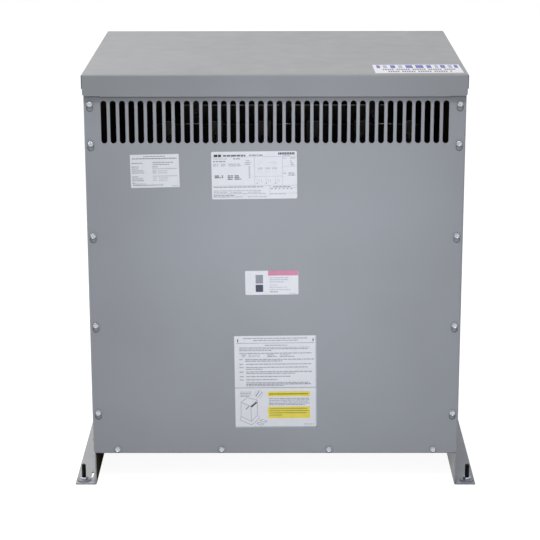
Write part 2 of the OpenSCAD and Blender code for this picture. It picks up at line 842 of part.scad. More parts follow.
// Rod ends stand past their nuts by this much
rod_over = 4;

module at_tie_rods() {
    both_sides() front_and_rear() translate([tie_rod_x, -channel_y, 0]) children();
}

module tie_rods() {
    low = clamp_z0 + clamp_h - clamp_t - nut_h - rod_over;
    high = upper_clamp_z0 + clamp_t + nut_h + rod_over;
    color(zinc) at_tie_rods() translate([0, 0, low]) cylinder(r = tie_rod_r, h = high - low);
}

module tie_rod_nuts() {
    nut_af = 3 * tie_rod_r;
    color(zinc) at_tie_rods() {
        translate([0, 0, clamp_z0 + clamp_h - clamp_t - nut_h]) hex_nut(tie_rod_r, nut_af, nut_h);
        translate([0, 0, upper_clamp_z0 + clamp_t]) hex_nut(tie_rod_r, nut_af, nut_h);
    }
}

module rounded_rectangle(w, d, r) {
    square([w - 2 * r, d], center = true);
    square([w, d - 2 * r], center = true);
    for (x = [-1, 1]) for (y = [-1, 1]) translate([x * (w / 2 - r), y * (d / 2 - r)]) circle(r);
}

// Upright tube with rounded corners around a leg
module coil_tube(in_w, in_d, build, corner_r) {
    translate([0, 0, coil_z0]) linear_extrude(coil_h) difference() {
        rounded_rectangle(in_w + 2 * build, in_d + 2 * build, corner_r + build);
        rounded_rectangle(in_w, in_d, corner_r);
    }
}

module coil_formers() {
    color(insulation_board) for (x = leg_xs) translate([x, 0, 0])
        coil_tube(former_in_w, former_in_d, former_t, former_bore_r);
}

module low_voltage_winding(x) {
    color(varnish) translate([x, 0, 0]) coil_tube(low_in_w, low_in_d, low_build, low_corner_r);
}

module high_voltage_winding(x) {
    color(varnish) translate([x, 0, 0]) coil_tube(high_in_w, high_in_d, high_build, high_corner_r);
}

// Sticks that hold the duct open, on the flat sides of the winding
module duct_sticks() {
    stick_t = duct_w - 2 * wind_play;
    side_x = low_out_w / 2 + duct_w / 2;
    face_y = low_out_d / 2 + duct_w / 2;
    color(insulation_board) for (x = leg_xs) translate([x, 0, coil_z0]) {
        for (side = [-1, 1]) for (step = [-1, 0, 1]) {
            translate([side * side_x, step * stack_d / 3, coil_h / 2])
                cube([stick_t, stick_w, coil_h], center = true);
            translate([step * leg_w / 3, side * face_y, coil_h / 2])
                cube([stick_w, stick_t, coil_h], center = true);
        }
    }
}

module coil_blocks(z0) {
    block_y0 = low_in_d / 2;
    block_y1 = high_out_d / 2;
    color(insulation_board) front_and_rear() for (x = leg_xs) for (side = [-1, 1])
        translate([x + side * block_x - block_w / 2, -block_y1, z0])
            cube([block_w, block_y1 - block_y0, block_h]);
}

// Sheets between the coils, standing on the lower clamps' top flanges
module phase_barriers() {
    barrier_z0 = clamp_z0 + clamp_h;
    color(insulation_board) both_sides()
        translate([leg_pitch / 2 - barrier_t / 2, -high_out_d / 2, barrier_z0])
            cube([barrier_t, high_out_d, upper_clamp_z0 - barrier_z0]);
}

// Bar that leaves a winding's top, steps out over the coil and stands up against the board
module terminal_bar(start_y, top_z) {
    edge = bar_t + bar_bend_r;
    rise = 1;
    out_run = board_y - start_y - edge - bar_bend_r;
    out_z = coil_z1 + rise + bar_bend_r + bar_bend_r;
    along_x(bar_w) translate([-start_y, coil_z1]) rotate(90)
        folded_section([rise, out_run, top_z - out_z], [1, -1], bar_t, bar_bend_r);
}

low_start_y = (low_in_d + low_build - bar_t) / 2;
high_start_y = (high_in_d + high_build - bar_t) / 2;

module bolted_bar(start_y) {
    difference() {
        terminal_bar(start_y, bar_top);
        translate([0, -board_y - bar_t - 1, terminal_z]) rotate([-90, 0, 0])
            cylinder(r = terminal_bolt_r + hole_play, h = bar_t + 2);
    }
}

module low_voltage_bars() {
    color(tinned_bar) for (x = leg_xs) translate([x + low_bar_x, 0, 0]) bolted_bar(low_start_y);
}

module high_voltage_bars() {
    color(tinned_bar) for (x = leg_xs) translate([x + high_bar_x, 0, 0]) bolted_bar(high_start_y);
}

terminal_xs = [for (x = leg_xs) for (offset = [low_bar_x, high_bar_x]) x + offset];
neutral_xs = [for (x = leg_xs) x - low_bar_x];
board_x0 = -leg_pitch + low_bar_x - bar_w;
board_x1 = leg_pitch + high_bar_x + bar_w;

module terminal_board() {
    color(insulation_board) difference() {
        translate([board_x0, -board_y, board_top - board_h]) cube([board_x1 - board_x0, board_t, board_h]);
        for (x = terminal_xs) translate([x, -board_y - 1, terminal_z]) rotate([-90, 0, 0])
            cylinder(r = terminal_bolt_r + hole_play, h = board_t + 2);
    }
}

bracket_w = 30;
bracket_t = 4;
bracket_foot_run = 36;

// Angle brackets that carry the board on the upper clamp
module board_brackets() {
    foot_z = upper_clamp_z0 + clamp_h;
    back_y = board_t - board_y;
    upright_run = board_top - foot_z - bracket_t - bar_bend_r;
    color(zinc) for (x = leg_xs) translate([x + (low_bar_x + high_bar_x) / 2, 0, 0])
        along_x(bracket_w) translate([back_y, board_top]) rotate(-90)
            folded_section([upright_run, bracket_foot_run], [1], bracket_t, bar_bend_r);
}

module terminal_bolts() {
    color(zinc) {
        for (x = terminal_xs) translate([x, -board_y - bar_t, terminal_z]) rotate([90, 0, 0])
            hex_bolt(terminal_bolt_r, bar_t + board_t + nut_h + 2, bolt_af, bolt_head_h);
        for (x = neutral_xs) translate([x, board_y + bar_t + neutral_t, terminal_z]) rotate([-90, 0, 0])
            hex_bolt(terminal_bolt_r, bar_t + neutral_t + nut_h + 2, bolt_af, bolt_head_h);
    }
}

module terminal_nuts() {
    color(zinc) {
        for (x = terminal_xs) translate([x, board_t - board_y, terminal_z]) rotate([-90, 0, 0])
            hex_nut(terminal_bolt_r, bolt_af, nut_h);
        for (x = neutral_xs) translate([x, board_y, terminal_z]) rotate([90, 0, 0])
            hex_nut(terminal_bolt_r, bolt_af, nut_h);
    }
}

// Thickness and height of the neutral bar
neutral_t = 6;
neutral_h = 36;

module neutral_leads() {
    color(tinned_bar) for (x = neutral_xs) translate([x, 0, 0]) mirror([0, 1, 0]) bolted_bar(low_start_y);
}

module neutral_bar() {
    x0 = neutral_xs[0] - bar_w;
    x1 = neutral_xs[2] + bar_w;
    color(tinned_bar) difference() {
        translate([x0, board_y + bar_t, terminal_z - neutral_h / 2]) cube([x1 - x0, neutral_t, neutral_h]);
        for (x = neutral_xs) translate([x, board_y, terminal_z]) rotate([-90, 0, 0])
            cylinder(r = terminal_bolt_r + hole_play, h = bar_t + neutral_t + 2);
    }
}

tap_zs = [for (i = [0 : tap_count - 1]) tap_first_z + i * tap_pitch];
tap_r = 3;
tap_stud_over = 12;
tap_nut_af = 10;
tap_nut_h = 5;
tap_face_y = high_out_d / 2 + tap_board_t;
tap_link_t = 2.5;
tap_link_w = 14;

module tap_boards() {
    color(insulation_board) for (x = leg_xs) difference() {
        translate([x - tap_board_w / 2, -tap_face_y, (coil_z0 + coil_z1 - tap_board_h) / 2])
            cube([tap_board_w, tap_board_t, tap_board_h]);
        for (z = tap_zs) translate([x, -tap_face_y - 1, z]) rotate([-90, 0, 0])
            cylinder(r = tap_r + hole_play, h = tap_board_t + 2);
    }
}

// Studs with their nuts run down, standing in the tap boards
module tap_studs() {
    stud_l = tap_board_t + tap_link_t + tap_stud_over;
    color(zinc) for (x = leg_xs) for (z = tap_zs)
        translate([x, -high_out_d / 2, z]) rotate([90, 0, 0]) {
            cylinder(r = tap_r, h = stud_l);
            translate([0, 0, tap_board_t + tap_link_t]) hexagon(tap_nut_af, tap_nut_h);
        }
}

module tap_links() {
    z0 = tap_zs[floor((tap_count - 1) / 2)];
    color(tinned_bar) for (x = leg_xs) translate([x, -tap_face_y, 0]) rotate([90, 0, 0])
        linear_extrude(tap_link_t) difference() {
            translate([-tap_link_w / 2, z0 - tap_link_w / 2]) square([tap_link_w, tap_pitch + tap_link_w]);
            for (step = [0, 1]) translate([0, z0 + step * tap_pitch]) circle(tap_r + hole_play);
        }
}

// Size and places of the leads that join the coils at the rear
delta_lead_h = 20;
delta_stand_off = 10;
delta_near_x = 22;
delta_far_x = 30;
delta_upper_drop = 40;
delta_lower_drop = 75;

// Strap from x0 to x1 with both ends turned in to the rear of two coils
module delta_lead(x0, x1, drop) {
    edge = bar_t + bar_bend_r;
    end_run = delta_stand_off - bar_bend_r;
    translate([x0 + bar_t, high_out_d / 2, coil_z1 - drop]) linear_extrude(delta_lead_h) rotate(90)
        folded_section([end_run, x1 - x0 - 2 * edge, end_run], [-1, -1], bar_t, bar_bend_r);
}

module delta_leads() {
    color(tinned_bar) {
        for (x = [-leg_pitch, 0])
            delta_lead(x + delta_near_x, x + leg_pitch - delta_near_x, delta_upper_drop);
        delta_lead(-leg_pitch - delta_far_x, leg_pitch + delta_far_x, delta_lower_drop);
    }
}

// Braided strap from the lower clamp down to the base channel, round the isolation pad
strap_t = 2;
strap_bend_r = 4;
strap_w = 24;
strap_bolt_r = 3;
strap_bolt_af = 10;
strap_bolt_head_h = 4;
strap_head_over = 4;
strap_foot_over = 6;
strap_run = 26;

function strap_drop_x() = clamp_l / 2 + strap_bend_r;
function strap_head_x() = strap_drop_x() - strap_run / 2 - strap_bend_r;
function strap_foot_x() = strap_drop_x() + strap_t + strap_bend_r + strap_run / 2;

module ground_strap() {
    edge = strap_t + strap_bend_r;
    strap_top = clamp_z0 + clamp_t;
    color(tinned_bar) difference() {
        translate([0, -channel_y, 0]) along_y(strap_w)
            translate([strap_drop_x() - strap_bend_r - strap_run, strap_top])
                folded_section([strap_run, strap_top - channel_top - edge - strap_bend_r, strap_run],
                    [-1, 1], strap_t, strap_bend_r);
        for (x = [strap_head_x(), strap_foot_x()]) translate([x, -channel_y, channel_top - 1])
            cylinder(r = strap_bolt_r + hole_play, h = strap_top);
    }
}

module ground_strap_bolts() {
    color(zinc) {
        translate([strap_head_x(), -channel_y, clamp_z0 + clamp_t + strap_t])
            hex_bolt(strap_bolt_r, clamp_t + strap_t + strap_head_over, strap_bolt_af, strap_bolt_head_h);
        translate([strap_foot_x(), -channel_y, channel_top + strap_t])
            hex_bolt(strap_bolt_r, channel_t + strap_t + strap_foot_over, strap_bolt_af, strap_bolt_head_h);
    }
}

roof_cover();
front_cover();
rear_cover();
side_panel_left();
side_panel_right();
top_rail();  // top_rail_front
mirror([0, 1, 0]) top_rail();  // top_rail_rear
sill();  // sill_front
mirror([0, 1, 0]) sill();  // sill_rear
cover_screws();  // front_cover_screws
mirror([0, 1, 0]) cover_screws();  // rear_cover_screws
cover_weld_nuts();
cover_side_screws();
roof_nuts();
foot_studs();
foot_washers();
foot_nuts();
base_channel();  // base_channel_front
mirror([0, 1, 0]) base_channel();  // base_channel_rear
base_bolts();
base_nuts();
isolation_pads();
pad_bolts();
pad_nuts();
core_legs();
top_yoke();
lower_clamp();  // lower_clamp_front
mirror([0, 1, 0]) lower_clamp();  // lower_clamp_rear
upper_clamp();  // upper_clamp_front
mirror([0, 1, 0]) upper_clamp();  // upper_clamp_rear
yoke_bolts();
yoke_nuts();
tie_rods();
tie_rod_nuts();
coil_formers();
low_voltage_winding(leg_xs[0]);  // low_voltage_winding_a
low_voltage_winding(leg_xs[1]);  // low_voltage_winding_b
low_voltage_winding(leg_xs[2]);  // low_voltage_winding_c
high_voltage_winding(leg_xs[0]);  // high_voltage_winding_a
high_voltage_winding(leg_xs[1]);  // high_voltage_winding_b
high_voltage_winding(leg_xs[2]);  // high_voltage_winding_c
duct_sticks();
coil_blocks(coil_z0 - block_h);  // lower_coil_blocks
coil_blocks(coil_z1);  // upper_coil_blocks
phase_barriers();
terminal_board();
board_brackets();
low_voltage_bars();
high_voltage_bars();
terminal_bolts();
terminal_nuts();
tap_boards();
tap_studs();
tap_links();
delta_leads();
neutral_leads();
neutral_bar();
ground_strap();
ground_strap_bolts();
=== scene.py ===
import math
import random

import bmesh
import bpy
from mathutils import Matrix, Vector


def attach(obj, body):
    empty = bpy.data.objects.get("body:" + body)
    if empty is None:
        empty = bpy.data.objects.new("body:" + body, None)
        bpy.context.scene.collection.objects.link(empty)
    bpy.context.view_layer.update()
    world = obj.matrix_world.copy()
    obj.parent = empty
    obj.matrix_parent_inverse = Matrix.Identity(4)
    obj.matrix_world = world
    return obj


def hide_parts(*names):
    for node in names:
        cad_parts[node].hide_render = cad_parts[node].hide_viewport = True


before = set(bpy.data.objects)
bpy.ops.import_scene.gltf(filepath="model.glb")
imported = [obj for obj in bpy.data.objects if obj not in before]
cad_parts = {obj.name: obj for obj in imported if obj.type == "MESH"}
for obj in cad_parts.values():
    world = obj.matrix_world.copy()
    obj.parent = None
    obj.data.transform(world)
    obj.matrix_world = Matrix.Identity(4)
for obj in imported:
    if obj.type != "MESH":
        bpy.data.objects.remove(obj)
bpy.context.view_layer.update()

MM = 0.001


# Roof, covers, side panels, rails and sills: one steel-sheet housing.
# Cold-rolled sheet, punched and folded on a press brake, then sprayed with
# dry polyester powder and baked, so that every fold carries the same skin.

def linear(hex_colour):
    """A six-digit sRGB colour as linear red, green, blue and alpha."""
    channels = [int(hex_colour[i:i + 2], 16) / 255 for i in (1, 3, 5)]
    return [c / 12.92 if c <= 0.04045 else ((c + 0.055) / 1.055) ** 2.4 for c in channels] + [1.0]


def new_finish(name):
    """An empty node material and its tree."""
    material = bpy.data.materials.new(name)
    material.use_nodes = True
    material.node_tree.nodes.clear()
    return material, material.node_tree


def add(tree, kind, inputs=None, **settings):
    """One node with its settings. An input is a plain value, or (node, output) for a link."""
    made = tree.nodes.new(kind)
    for setting, value in settings.items():
        setattr(made, setting, value)
    for socket, value in (inputs or {}).items():
        if isinstance(value, tuple) and isinstance(value[0], bpy.types.Node):
            tree.links.new(value[0].outputs[value[1]], made.inputs[socket])
        else:
            made.inputs[socket].default_value = value
    return made


def ramp(tree, source, *stops):
    """Turns a 0 to 1 pattern into colours or levels at the given stops."""
    made = add(tree, "ShaderNodeValToRGB", {"Fac": source})
    elements = made.color_ramp.elements
    elements[0].position, elements[0].color = stops[0]
    elements[1].position, elements[1].color = stops[-1]
    for place, colour in stops[1:-1]:
        elements.new(place).color = colour
    return made


def grey_level(value):
    return [value, value, value, 1.0]


def dress(material, *nodes):
    """Gives CAD nodes their finish through their own material slots."""
    for name in nodes:
        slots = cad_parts[name].data.materials
        for i in range(len(slots)):
            slots[i] = material
        if not len(slots):
            slots.append(material)


# Polyester powder coat over steel: satin, a little orange peel about 3 mm from
# crest to crest, and a film that lies a touch lighter and darker from spray pass to pass.
def powder_coat(name, light, dark, gloss_low, gloss_high, banded=False):
    material, tree = new_finish(name)
    place = add(tree, "ShaderNodeTexCoord")
    passes = add(tree, "ShaderNodeTexNoise", {"Vector": (place, "Object"), "Scale": 3.5, "Detail": 2.0})
    tone = ramp(tree, (passes, "Fac"), (0.35, linear(dark)), (0.65, linear(light)))
    haze = add(tree, "ShaderNodeTexNoise", {"Vector": (place, "Object"), "Scale": 22.0, "Detail": 3.0})
    satin = ramp(tree, (haze, "Fac"), (0.3, grey_level(gloss_low)), (0.7, grey_level(gloss_high)))
    peel = add(tree, "ShaderNodeTexNoise", {"Vector": (place, "Object"), "Scale": 330.0, "Detail": 1.0})
    grain = add(tree, "ShaderNodeTexNoise", {"Vector": (place, "Object"), "Scale": 1500.0, "Detail": 2.0})
    relief = add(tree, "ShaderNodeMath", {0: (grain, "Fac"), 1: 0.25, 2: (peel, "Fac")}, operation="MULTIPLY_ADD")
    bump = add(tree, "ShaderNodeBump", {"Height": (relief, "Value"), "Strength": 0.35, "Distance": 0.00006})
    # painted shade: the coat darkens within 6 mm of screws, keyhole rims and folds
    nooks = add(tree, "ShaderNodeAmbientOcclusion", {"Distance": 0.006}, samples=6)
    painted_nook_shade = ramp(tree, (nooks, "AO"), (0.35, grey_level(0.22)), (0.88, grey_level(1.0)))
    # and a wider, fainter painted shade within 14 mm of a step, as under the roof's skirt
    step = add(tree, "ShaderNodeAmbientOcclusion", {"Distance": 0.014}, samples=6)
    painted_step_shade = ramp(tree, (step, "AO"), (0.5, grey_level(0.74)), (0.95, grey_level(1.0)))
    crevice_and_step_shade = add(tree, "ShaderNodeMixRGB", {"Fac": 1.0, "Color1": (painted_nook_shade, "Color"), "Color2": (painted_step_shade, "Color")},
                 blend_type="MULTIPLY")
    coat = add(tree, "ShaderNodeMixRGB", {"Fac": 1.0, "Color1": (tone, "Color"), "Color2": (crevice_and_step_shade, "Color")},
               blend_type="MULTIPLY")
    # painted shadow cast by the roof's skirt: a darker band from 856 mm down to 838 mm
    height = add(tree, "ShaderNodeSeparateXYZ", {"Vector": (place, "Object")})
    rise = add(tree, "ShaderNodeMath", {0: (height, "Z"), 1: 1 / 0.0205, 2: -0.836 / 0.0205}, operation="MULTIPLY_ADD")
    painted_skirt_shadow = ramp(tree, (rise, "Value"), (0.08, grey_level(1.0)), (0.32, grey_level(0.9)), (0.5, grey_level(0.66)),
                (0.8, grey_level(0.6)))
    if banded:
        coat = add(tree, "ShaderNodeMixRGB", {"Fac": 1.0, "Color1": (coat, "Color"), "Color2": (painted_skirt_shadow, "Color")},
                   blend_type="MULTIPLY")
    # painted shade: faces that look towards the middle of the housing are drawn a matt dark brown, as the
    # unlit inside; those that look left in the lowest 85 mm are left out and keep the grey coat
    flat = add(tree, "ShaderNodeVectorMath", {0: (place, "Object"), 1: (1.0, 1.0, 0.0)}, operation="MULTIPLY")
    facing = add(tree, "ShaderNodeVectorMath", {0: (flat, "Vector"), 1: (place, "Normal")}, operation="DOT_PRODUCT")
    inward = add(tree, "ShaderNodeMath", {0: (facing, "Value"), 1: -0.02}, operation="LESS_THAN")
    side = add(tree, "ShaderNodeSeparateXYZ", {"Vector": (place, "Normal")})
    leftward = add(tree, "ShaderNodeMath", {0: (side, "X"), 1: -0.5}, operation="LESS_THAN")
    low = add(tree, "ShaderNodeMath", {0: (height, "Z"), 1: 0.085}, operation="LESS_THAN")
    kept_grey_low_left = add(tree, "ShaderNodeMath", {0: (leftward, "Value"), 1: (low, "Value")}, operation="MULTIPLY")
    painted_inner_shade = add(tree, "ShaderNodeMath", {0: (inward, "Value"), 1: (kept_grey_low_left, "Value")}, operation="SUBTRACT", use_clamp=True)
    unlit_brown = ramp(tree, (haze, "Fac"), (0.3, linear("#4a4336")), (0.7, linear("#5a5242")))
    colour = add(tree, "ShaderNodeMixRGB", {"Fac": (painted_inner_shade, "Value"), "Color1": (coat, "Color"), "Color2": (unlit_brown, "Color")})
    sheen = add(tree, "ShaderNodeMath", {0: (painted_inner_shade, "Value"), 1: -0.5, 2: 0.5}, operation="MULTIPLY_ADD")
    skin = add(tree, "ShaderNodeBsdfPrincipled", {
        "Base Color": (colour, "Color"), "Roughness": (satin, "Color"), "Normal": (bump, "Normal"),
        "IOR": 1.5, "Specular IOR Level": (sheen, "Value")})
    add(tree, "ShaderNodeOutputMaterial", {"Surface": (skin, "BSDF")})
    return material


housing_grey = powder_coat("polyester_powder_coat_grey", "#a1a4a9", "#9c9fa3", 0.42, 0.5, banded=True)
dress(housing_grey, "front_cover", "rear_cover", "side_panel_left", "side_panel_right",
      "top_rail_front", "top_rail_rear", "sill_front", "sill_rear",
      "base_channel_front", "base_channel_rear")
# the roof's coat is drawn a shade deeper than the rest: painted shade, so that its front skirt reads darker than the
# cover under it
dress(powder_coat("polyester_powder_coat_roof_shaded", "#979a9d", "#929598", 0.42, 0.5), "roof_cover")


# Hex washer-head screws that hold the covers, fourteen to each.
# Cold-headed steel, bright zinc plate with a clear passivation; each head has a
# pressed dish in its crown and a thin flared washer that bites on the paint.

# Bright zinc plate: mirror-like at arm's length, with a faint cloud of blue and
# yellow from the passivation and fine drawing marks under 1 mm, drawn at 2 mm.
zinc_plate, tree = new_finish("zinc_plate_clear_passivated")
place = add(tree, "ShaderNodeTexCoord")
cloud = add(tree, "ShaderNodeTexNoise", {"Vector": (place, "Object"), "Scale": 260.0, "Detail": 3.0})
tint = ramp(tree, (cloud, "Fac"), (0.3, linear("#a4aab7")), (0.5, linear("#b5b9c2")), (0.72, linear("#bcbbb7")))
rub = ramp(tree, (cloud, "Fac"), (0.3, grey_level(0.16)), (0.7, grey_level(0.27)))
marks = add(tree, "ShaderNodeTexNoise", {"Vector": (place, "Object"), "Scale": 500.0, "Detail": 2.0})
bump = add(tree, "ShaderNodeBump", {"Height": (marks, "Fac"), "Strength": 0.25, "Distance": 0.00005})
plate = add(tree, "ShaderNodeBsdfPrincipled", {
    "Base Color": (tint, "Color"), "Roughness": (rub, "Color"), "Normal": (bump, "Normal"), "Metallic": 1.0})
add(tree, "ShaderNodeOutputMaterial", {"Surface": (plate, "BSDF")})


def mesh_piece(name, build, material):
    """One piece from a bmesh that build fills, riding on the fixed body."""
    shape = bmesh.new()
    build(shape)
    bmesh.ops.recalc_face_normals(shape, faces=shape.faces)
    data = bpy.data.meshes.new(name)
    shape.to_mesh(data)
    shape.free()
    piece = bpy.data.objects.new(name, data)
    bpy.context.scene.collection.objects.link(piece)
    for one in material if isinstance(material, list) else [material]:
        data.materials.append(one)
    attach(piece, "root")
    return piece


def turned(shape, stations, sides, matrix, smooth=True, flats=None):
    """A closed form turned about its axis. A station is (radius, height); flats gives six-sided stations."""
    rings = []
    for k, (radius, height) in enumerate(stations):
        if radius == 0:
            rings.append([shape.verts.new(matrix @ Vector((0, 0, height)))])
            continue
        ring = []
        for i in range(sides):
            angle = 2 * math.pi * i / sides
            reach = radius
            if flats and k in flats:
                step = (angle + math.pi / 6) % (math.pi / 3) - math.pi / 6
                reach = min(flats[k], radius * math.cos(math.pi / 6) / math.cos(step))
            ring.append(shape.verts.new(matrix @ Vector((reach * math.cos(angle), reach * math.sin(angle), height))))
        rings.append(ring)
    for low, high in zip(rings, rings[1:]):
        for i in range(sides):
            j = (i + 1) % sides
            if len(low) == 1:
                face = shape.faces.new((low[0], high[j], high[i]))
            elif len(high) == 1:
                face = shape.faces.new((low[i], low[j], high[0]))
            else:
                face = shape.faces.new((low[i], low[j], high[j], high[i]))
            face.smooth = smooth


COVER_FACE_Y = 305.0
SCREW_SIDE_X = 381.0
SCREW_SIDE_ZS = (167.5, 364.3, 561.4, 758.0, 840.9)
SCREW_BOTTOM_XS = (116.0, 341.0)
SCREW_BOTTOM_Z = 83.8


def cover_screw(shape, place, out_y, turn):
    # radius and height of each ring, in mm: shank, washer's rim, hex head, chamfer and dished crown
    across = 9.5 / math.sqrt(3)
    stations = [(0, -14.0), (2.2, -14.0), (3.0, -12.8), (3.0, 0.0), (6.1, 0.0), (6.2, 0.35), (6.0, 0.95),
                (5.7, 1.3), (across, 1.45), (across, 4.6), (across, 5.15), (across, 5.5),
                (3.7, 5.5), (3.3, 5.2), (2.6, 4.8), (1.6, 4.5), (0, 4.35)]
    flats = {8: 9, 9: 9, 10: 5.15, 11: 4.65}
    facing = Matrix.Rotation(math.pi / 2 if out_y < 0 else -math.pi / 2, 4, "X")
    matrix = (Matrix.Translation(Vector((place[0], out_y, place[1])) * MM) @ facing
              @ Matrix.Rotation(turn, 4, "Z") @ Matrix.Scale(MM, 4))
    turned(shape, stations, 36, matrix, smooth=False, flats=flats)


screw_places = ([(side * SCREW_SIDE_X, z) for side in (-1, 1) for z in SCREW_SIDE_ZS]
                + [(side * x, SCREW_BOTTOM_Z) for side in (-1, 1) for x in SCREW_BOTTOM_XS])
for name, out_y in (("front_cover_screws", -COVER_FACE_Y), ("rear_cover_screws", COVER_FACE_Y)):
    turns = random.Random(name)

    def all_screws(shape):
        for place in screw_places:
            cover_screw(shape, place, out_y, turns.uniform(0, math.pi / 3))

    heads = mesh_piece(name + "_heads", all_screws, zinc_plate)
    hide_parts(name)

dress(zinc_plate, "cover_weld_nuts", "roof_nuts")

# Small screws through the cover's side returns: their heads are drawn in a paler grey than the cover's.
dress(powder_coat("polyester_powder_coat_pale", "#d3d5d8", "#c8cacd", 0.35, 0.42), "cover_side_screws")


# Foot studs, their nuts and washers, one set at each foot's end.
# Flat-headed studs pressed up through the foot flange, 3/8 inch with sixteen
# threads to the inch, black oxide over rolled threads; plated nut and washer.

# Black oxide: deep black with a dull oily sheen and a little brown where it is thin.
black_oxide, tree = new_finish("black_oxide_rolled_thread")
place = add(tree, "ShaderNodeTexCoord")
bloom = add(tree, "ShaderNodeTexNoise", {"Vector": (place, "Object"), "Scale": 300.0, "Detail": 3.0})
black = ramp(tree, (bloom, "Fac"), (0.35, linear("#0b0a0f")), (0.75, linear("#1b1818")))
oil = ramp(tree, (bloom, "Fac"), (0.3, grey_level(0.38)), (0.7, grey_level(0.55)))
oxide = add(tree, "ShaderNodeBsdfPrincipled", {
    "Base Color": (black, "Color"), "Roughness": (oil, "Color"), "IOR": 1.45, "Specular IOR Level": 0.2})
add(tree, "ShaderNodeOutputMaterial", {"Surface": (oxide, "BSDF")})

STUD_X, STUD_Y = 419.0, 281.1
STUD_TOP = 39.6
STUD_R = 4.76
THREAD_PITCH = 25.4 / 16
THREAD_DEPTH = 0.92
THREAD_FOOT = 2.6
STUD_SIDES = 28


def threaded_stud(shape, x, y):
    """Head, neck and one helical thread, cut off by a bevelled end."""
    steps_per_turn = STUD_SIDES
    turns = (STUD_TOP - THREAD_FOOT) / THREAD_PITCH
    profile = ((0.0, 0.0), (0.12, 0.0), (0.5, 1.0), (0.62, 1.0))
    columns = []
    for i in range(steps_per_turn):
        angle = 2 * math.pi * i / steps_per_turn
        column = [(7.0, 0.0), (7.0, 1.2), (STUD_R, 1.2), (STUD_R, THREAD_FOOT - 0.4)]
        for t in range(int(turns) + 2):
            for along, depth in profile:
                z = THREAD_FOOT + (t + along - 1 + i / steps_per_turn) * THREAD_PITCH
                z = min(max(z, THREAD_FOOT - 0.3), STUD_TOP)
                bevel = max(0.0, z - (STUD_TOP - 1.2))
                r = min(STUD_R - depth * THREAD_DEPTH, STUD_R - bevel)
                column.append((r, z))
        column.append((STUD_R - 1.2, STUD_TOP))
        columns.append([shape.verts.new(Vector((x + r * math.cos(angle), y + r * math.sin(angle), z)) * MM)
                        for r, z in column])
    low = shape.verts.new(Vector((x, y, 0)) * MM)
    high = shape.verts.new(Vector((x, y, STUD_TOP)) * MM)
    for i in range(steps_per_turn):
        one, two = columns[i], columns[(i + 1) % steps_per_turn]
        for k in range(len(one) - 1):
            shape.faces.new((one[k], two[k], two[k + 1], one[k + 1]))
        shape.faces.new((low, two[0], one[0]))
        shape.faces.new((high, one[-1], two[-1]))


def all_studs(shape):
    for side in (-1, 1):
        for end in (-1, 1):
            threaded_stud(shape, side * STUD_X, end * STUD_Y)
    bmesh.ops.remove_doubles(shape, verts=shape.verts, dist=0.00001)


studs = mesh_piece("foot_stud_threads", all_studs, black_oxide)
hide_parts("foot_studs")

NUT_Z0, NUT_Z1 = 4.9, 11.0
NUT_FLATS = 14.3


def all_foot_nuts(shape):
    corner = NUT_FLATS / math.sqrt(3)
    spin = random.Random("foot nuts")
    # radius and height of each ring, in mm: bore, lower chamfer, hex, upper chamfer and back to the bore
    stations = [(5.0, NUT_Z0 + 0.4), (5.5, NUT_Z0), (corner, NUT_Z0), (corner, NUT_Z0 + 0.7),
                (corner, NUT_Z1 - 0.8), (corner, NUT_Z1), (5.6, NUT_Z1), (5.0, NUT_Z1 - 0.5),
                (5.0, NUT_Z0 + 0.4)]
    flats = {2: 7.35, 3: 9, 4: 9, 5: 7.1}
    for side in (-1, 1):
        for end in (-1, 1):
            matrix = (Matrix.Translation(Vector((side * STUD_X, end * STUD_Y, 0)) * MM)
                      @ Matrix.Rotation(spin.uniform(0, math.pi / 3), 4, "Z") @ Matrix.Scale(MM, 4))
            turned(shape, stations, 36, matrix, smooth=False, flats=flats)
    bmesh.ops.remove_doubles(shape, verts=shape.verts, dist=0.00001)


foot_nuts = mesh_piece("foot_nut_hexes", all_foot_nuts, zinc_plate)
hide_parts("foot_nuts")

# Stamped washer: barrel-plated zinc that has gone dull and grey, with the die's
# rolled rim and scuffs about 2 mm long from the nut.
dull_zinc, tree = new_finish("zinc_plate_barrel_dull")
place = add(tree, "ShaderNodeTexCoord")
scuff = add(tree, "ShaderNodeTexNoise", {"Vector": (place, "Object"), "Scale": 420.0, "Detail": 4.0, "Distortion": 1.5})
tint = ramp(tree, (scuff, "Fac"), (0.3, linear("#7f828c")), (0.6, linear("#92959e")), (0.8, linear("#a9acb3")))
rub = ramp(tree, (scuff, "Fac"), (0.3, grey_level(0.42)), (0.7, grey_level(0.58)))
bump = add(tree, "ShaderNodeBump", {"Height": (scuff, "Fac"), "Strength": 0.3, "Distance": 0.0001})
plate = add(tree, "ShaderNodeBsdfPrincipled", {
    "Base Color": (tint, "Color"), "Roughness": (rub, "Color"), "Normal": (bump, "Normal"), "Metallic": 0.6})
add(tree, "ShaderNodeOutputMaterial", {"Surface": (plate, "BSDF")})
dress(dull_zinc, "foot_washers")


# Labels: one plate-sized label and three paper-white ones on the front cover, one on the roof.
# Polyester film with a pressure-sensitive back, printed and die-cut, rubbed
# down by hand, so that each sits a little off square. The print is fields and bars only.

FILM_T = 0.12
INK_T = 0.03
ROOF_Z = 902.5
label_inks = {}


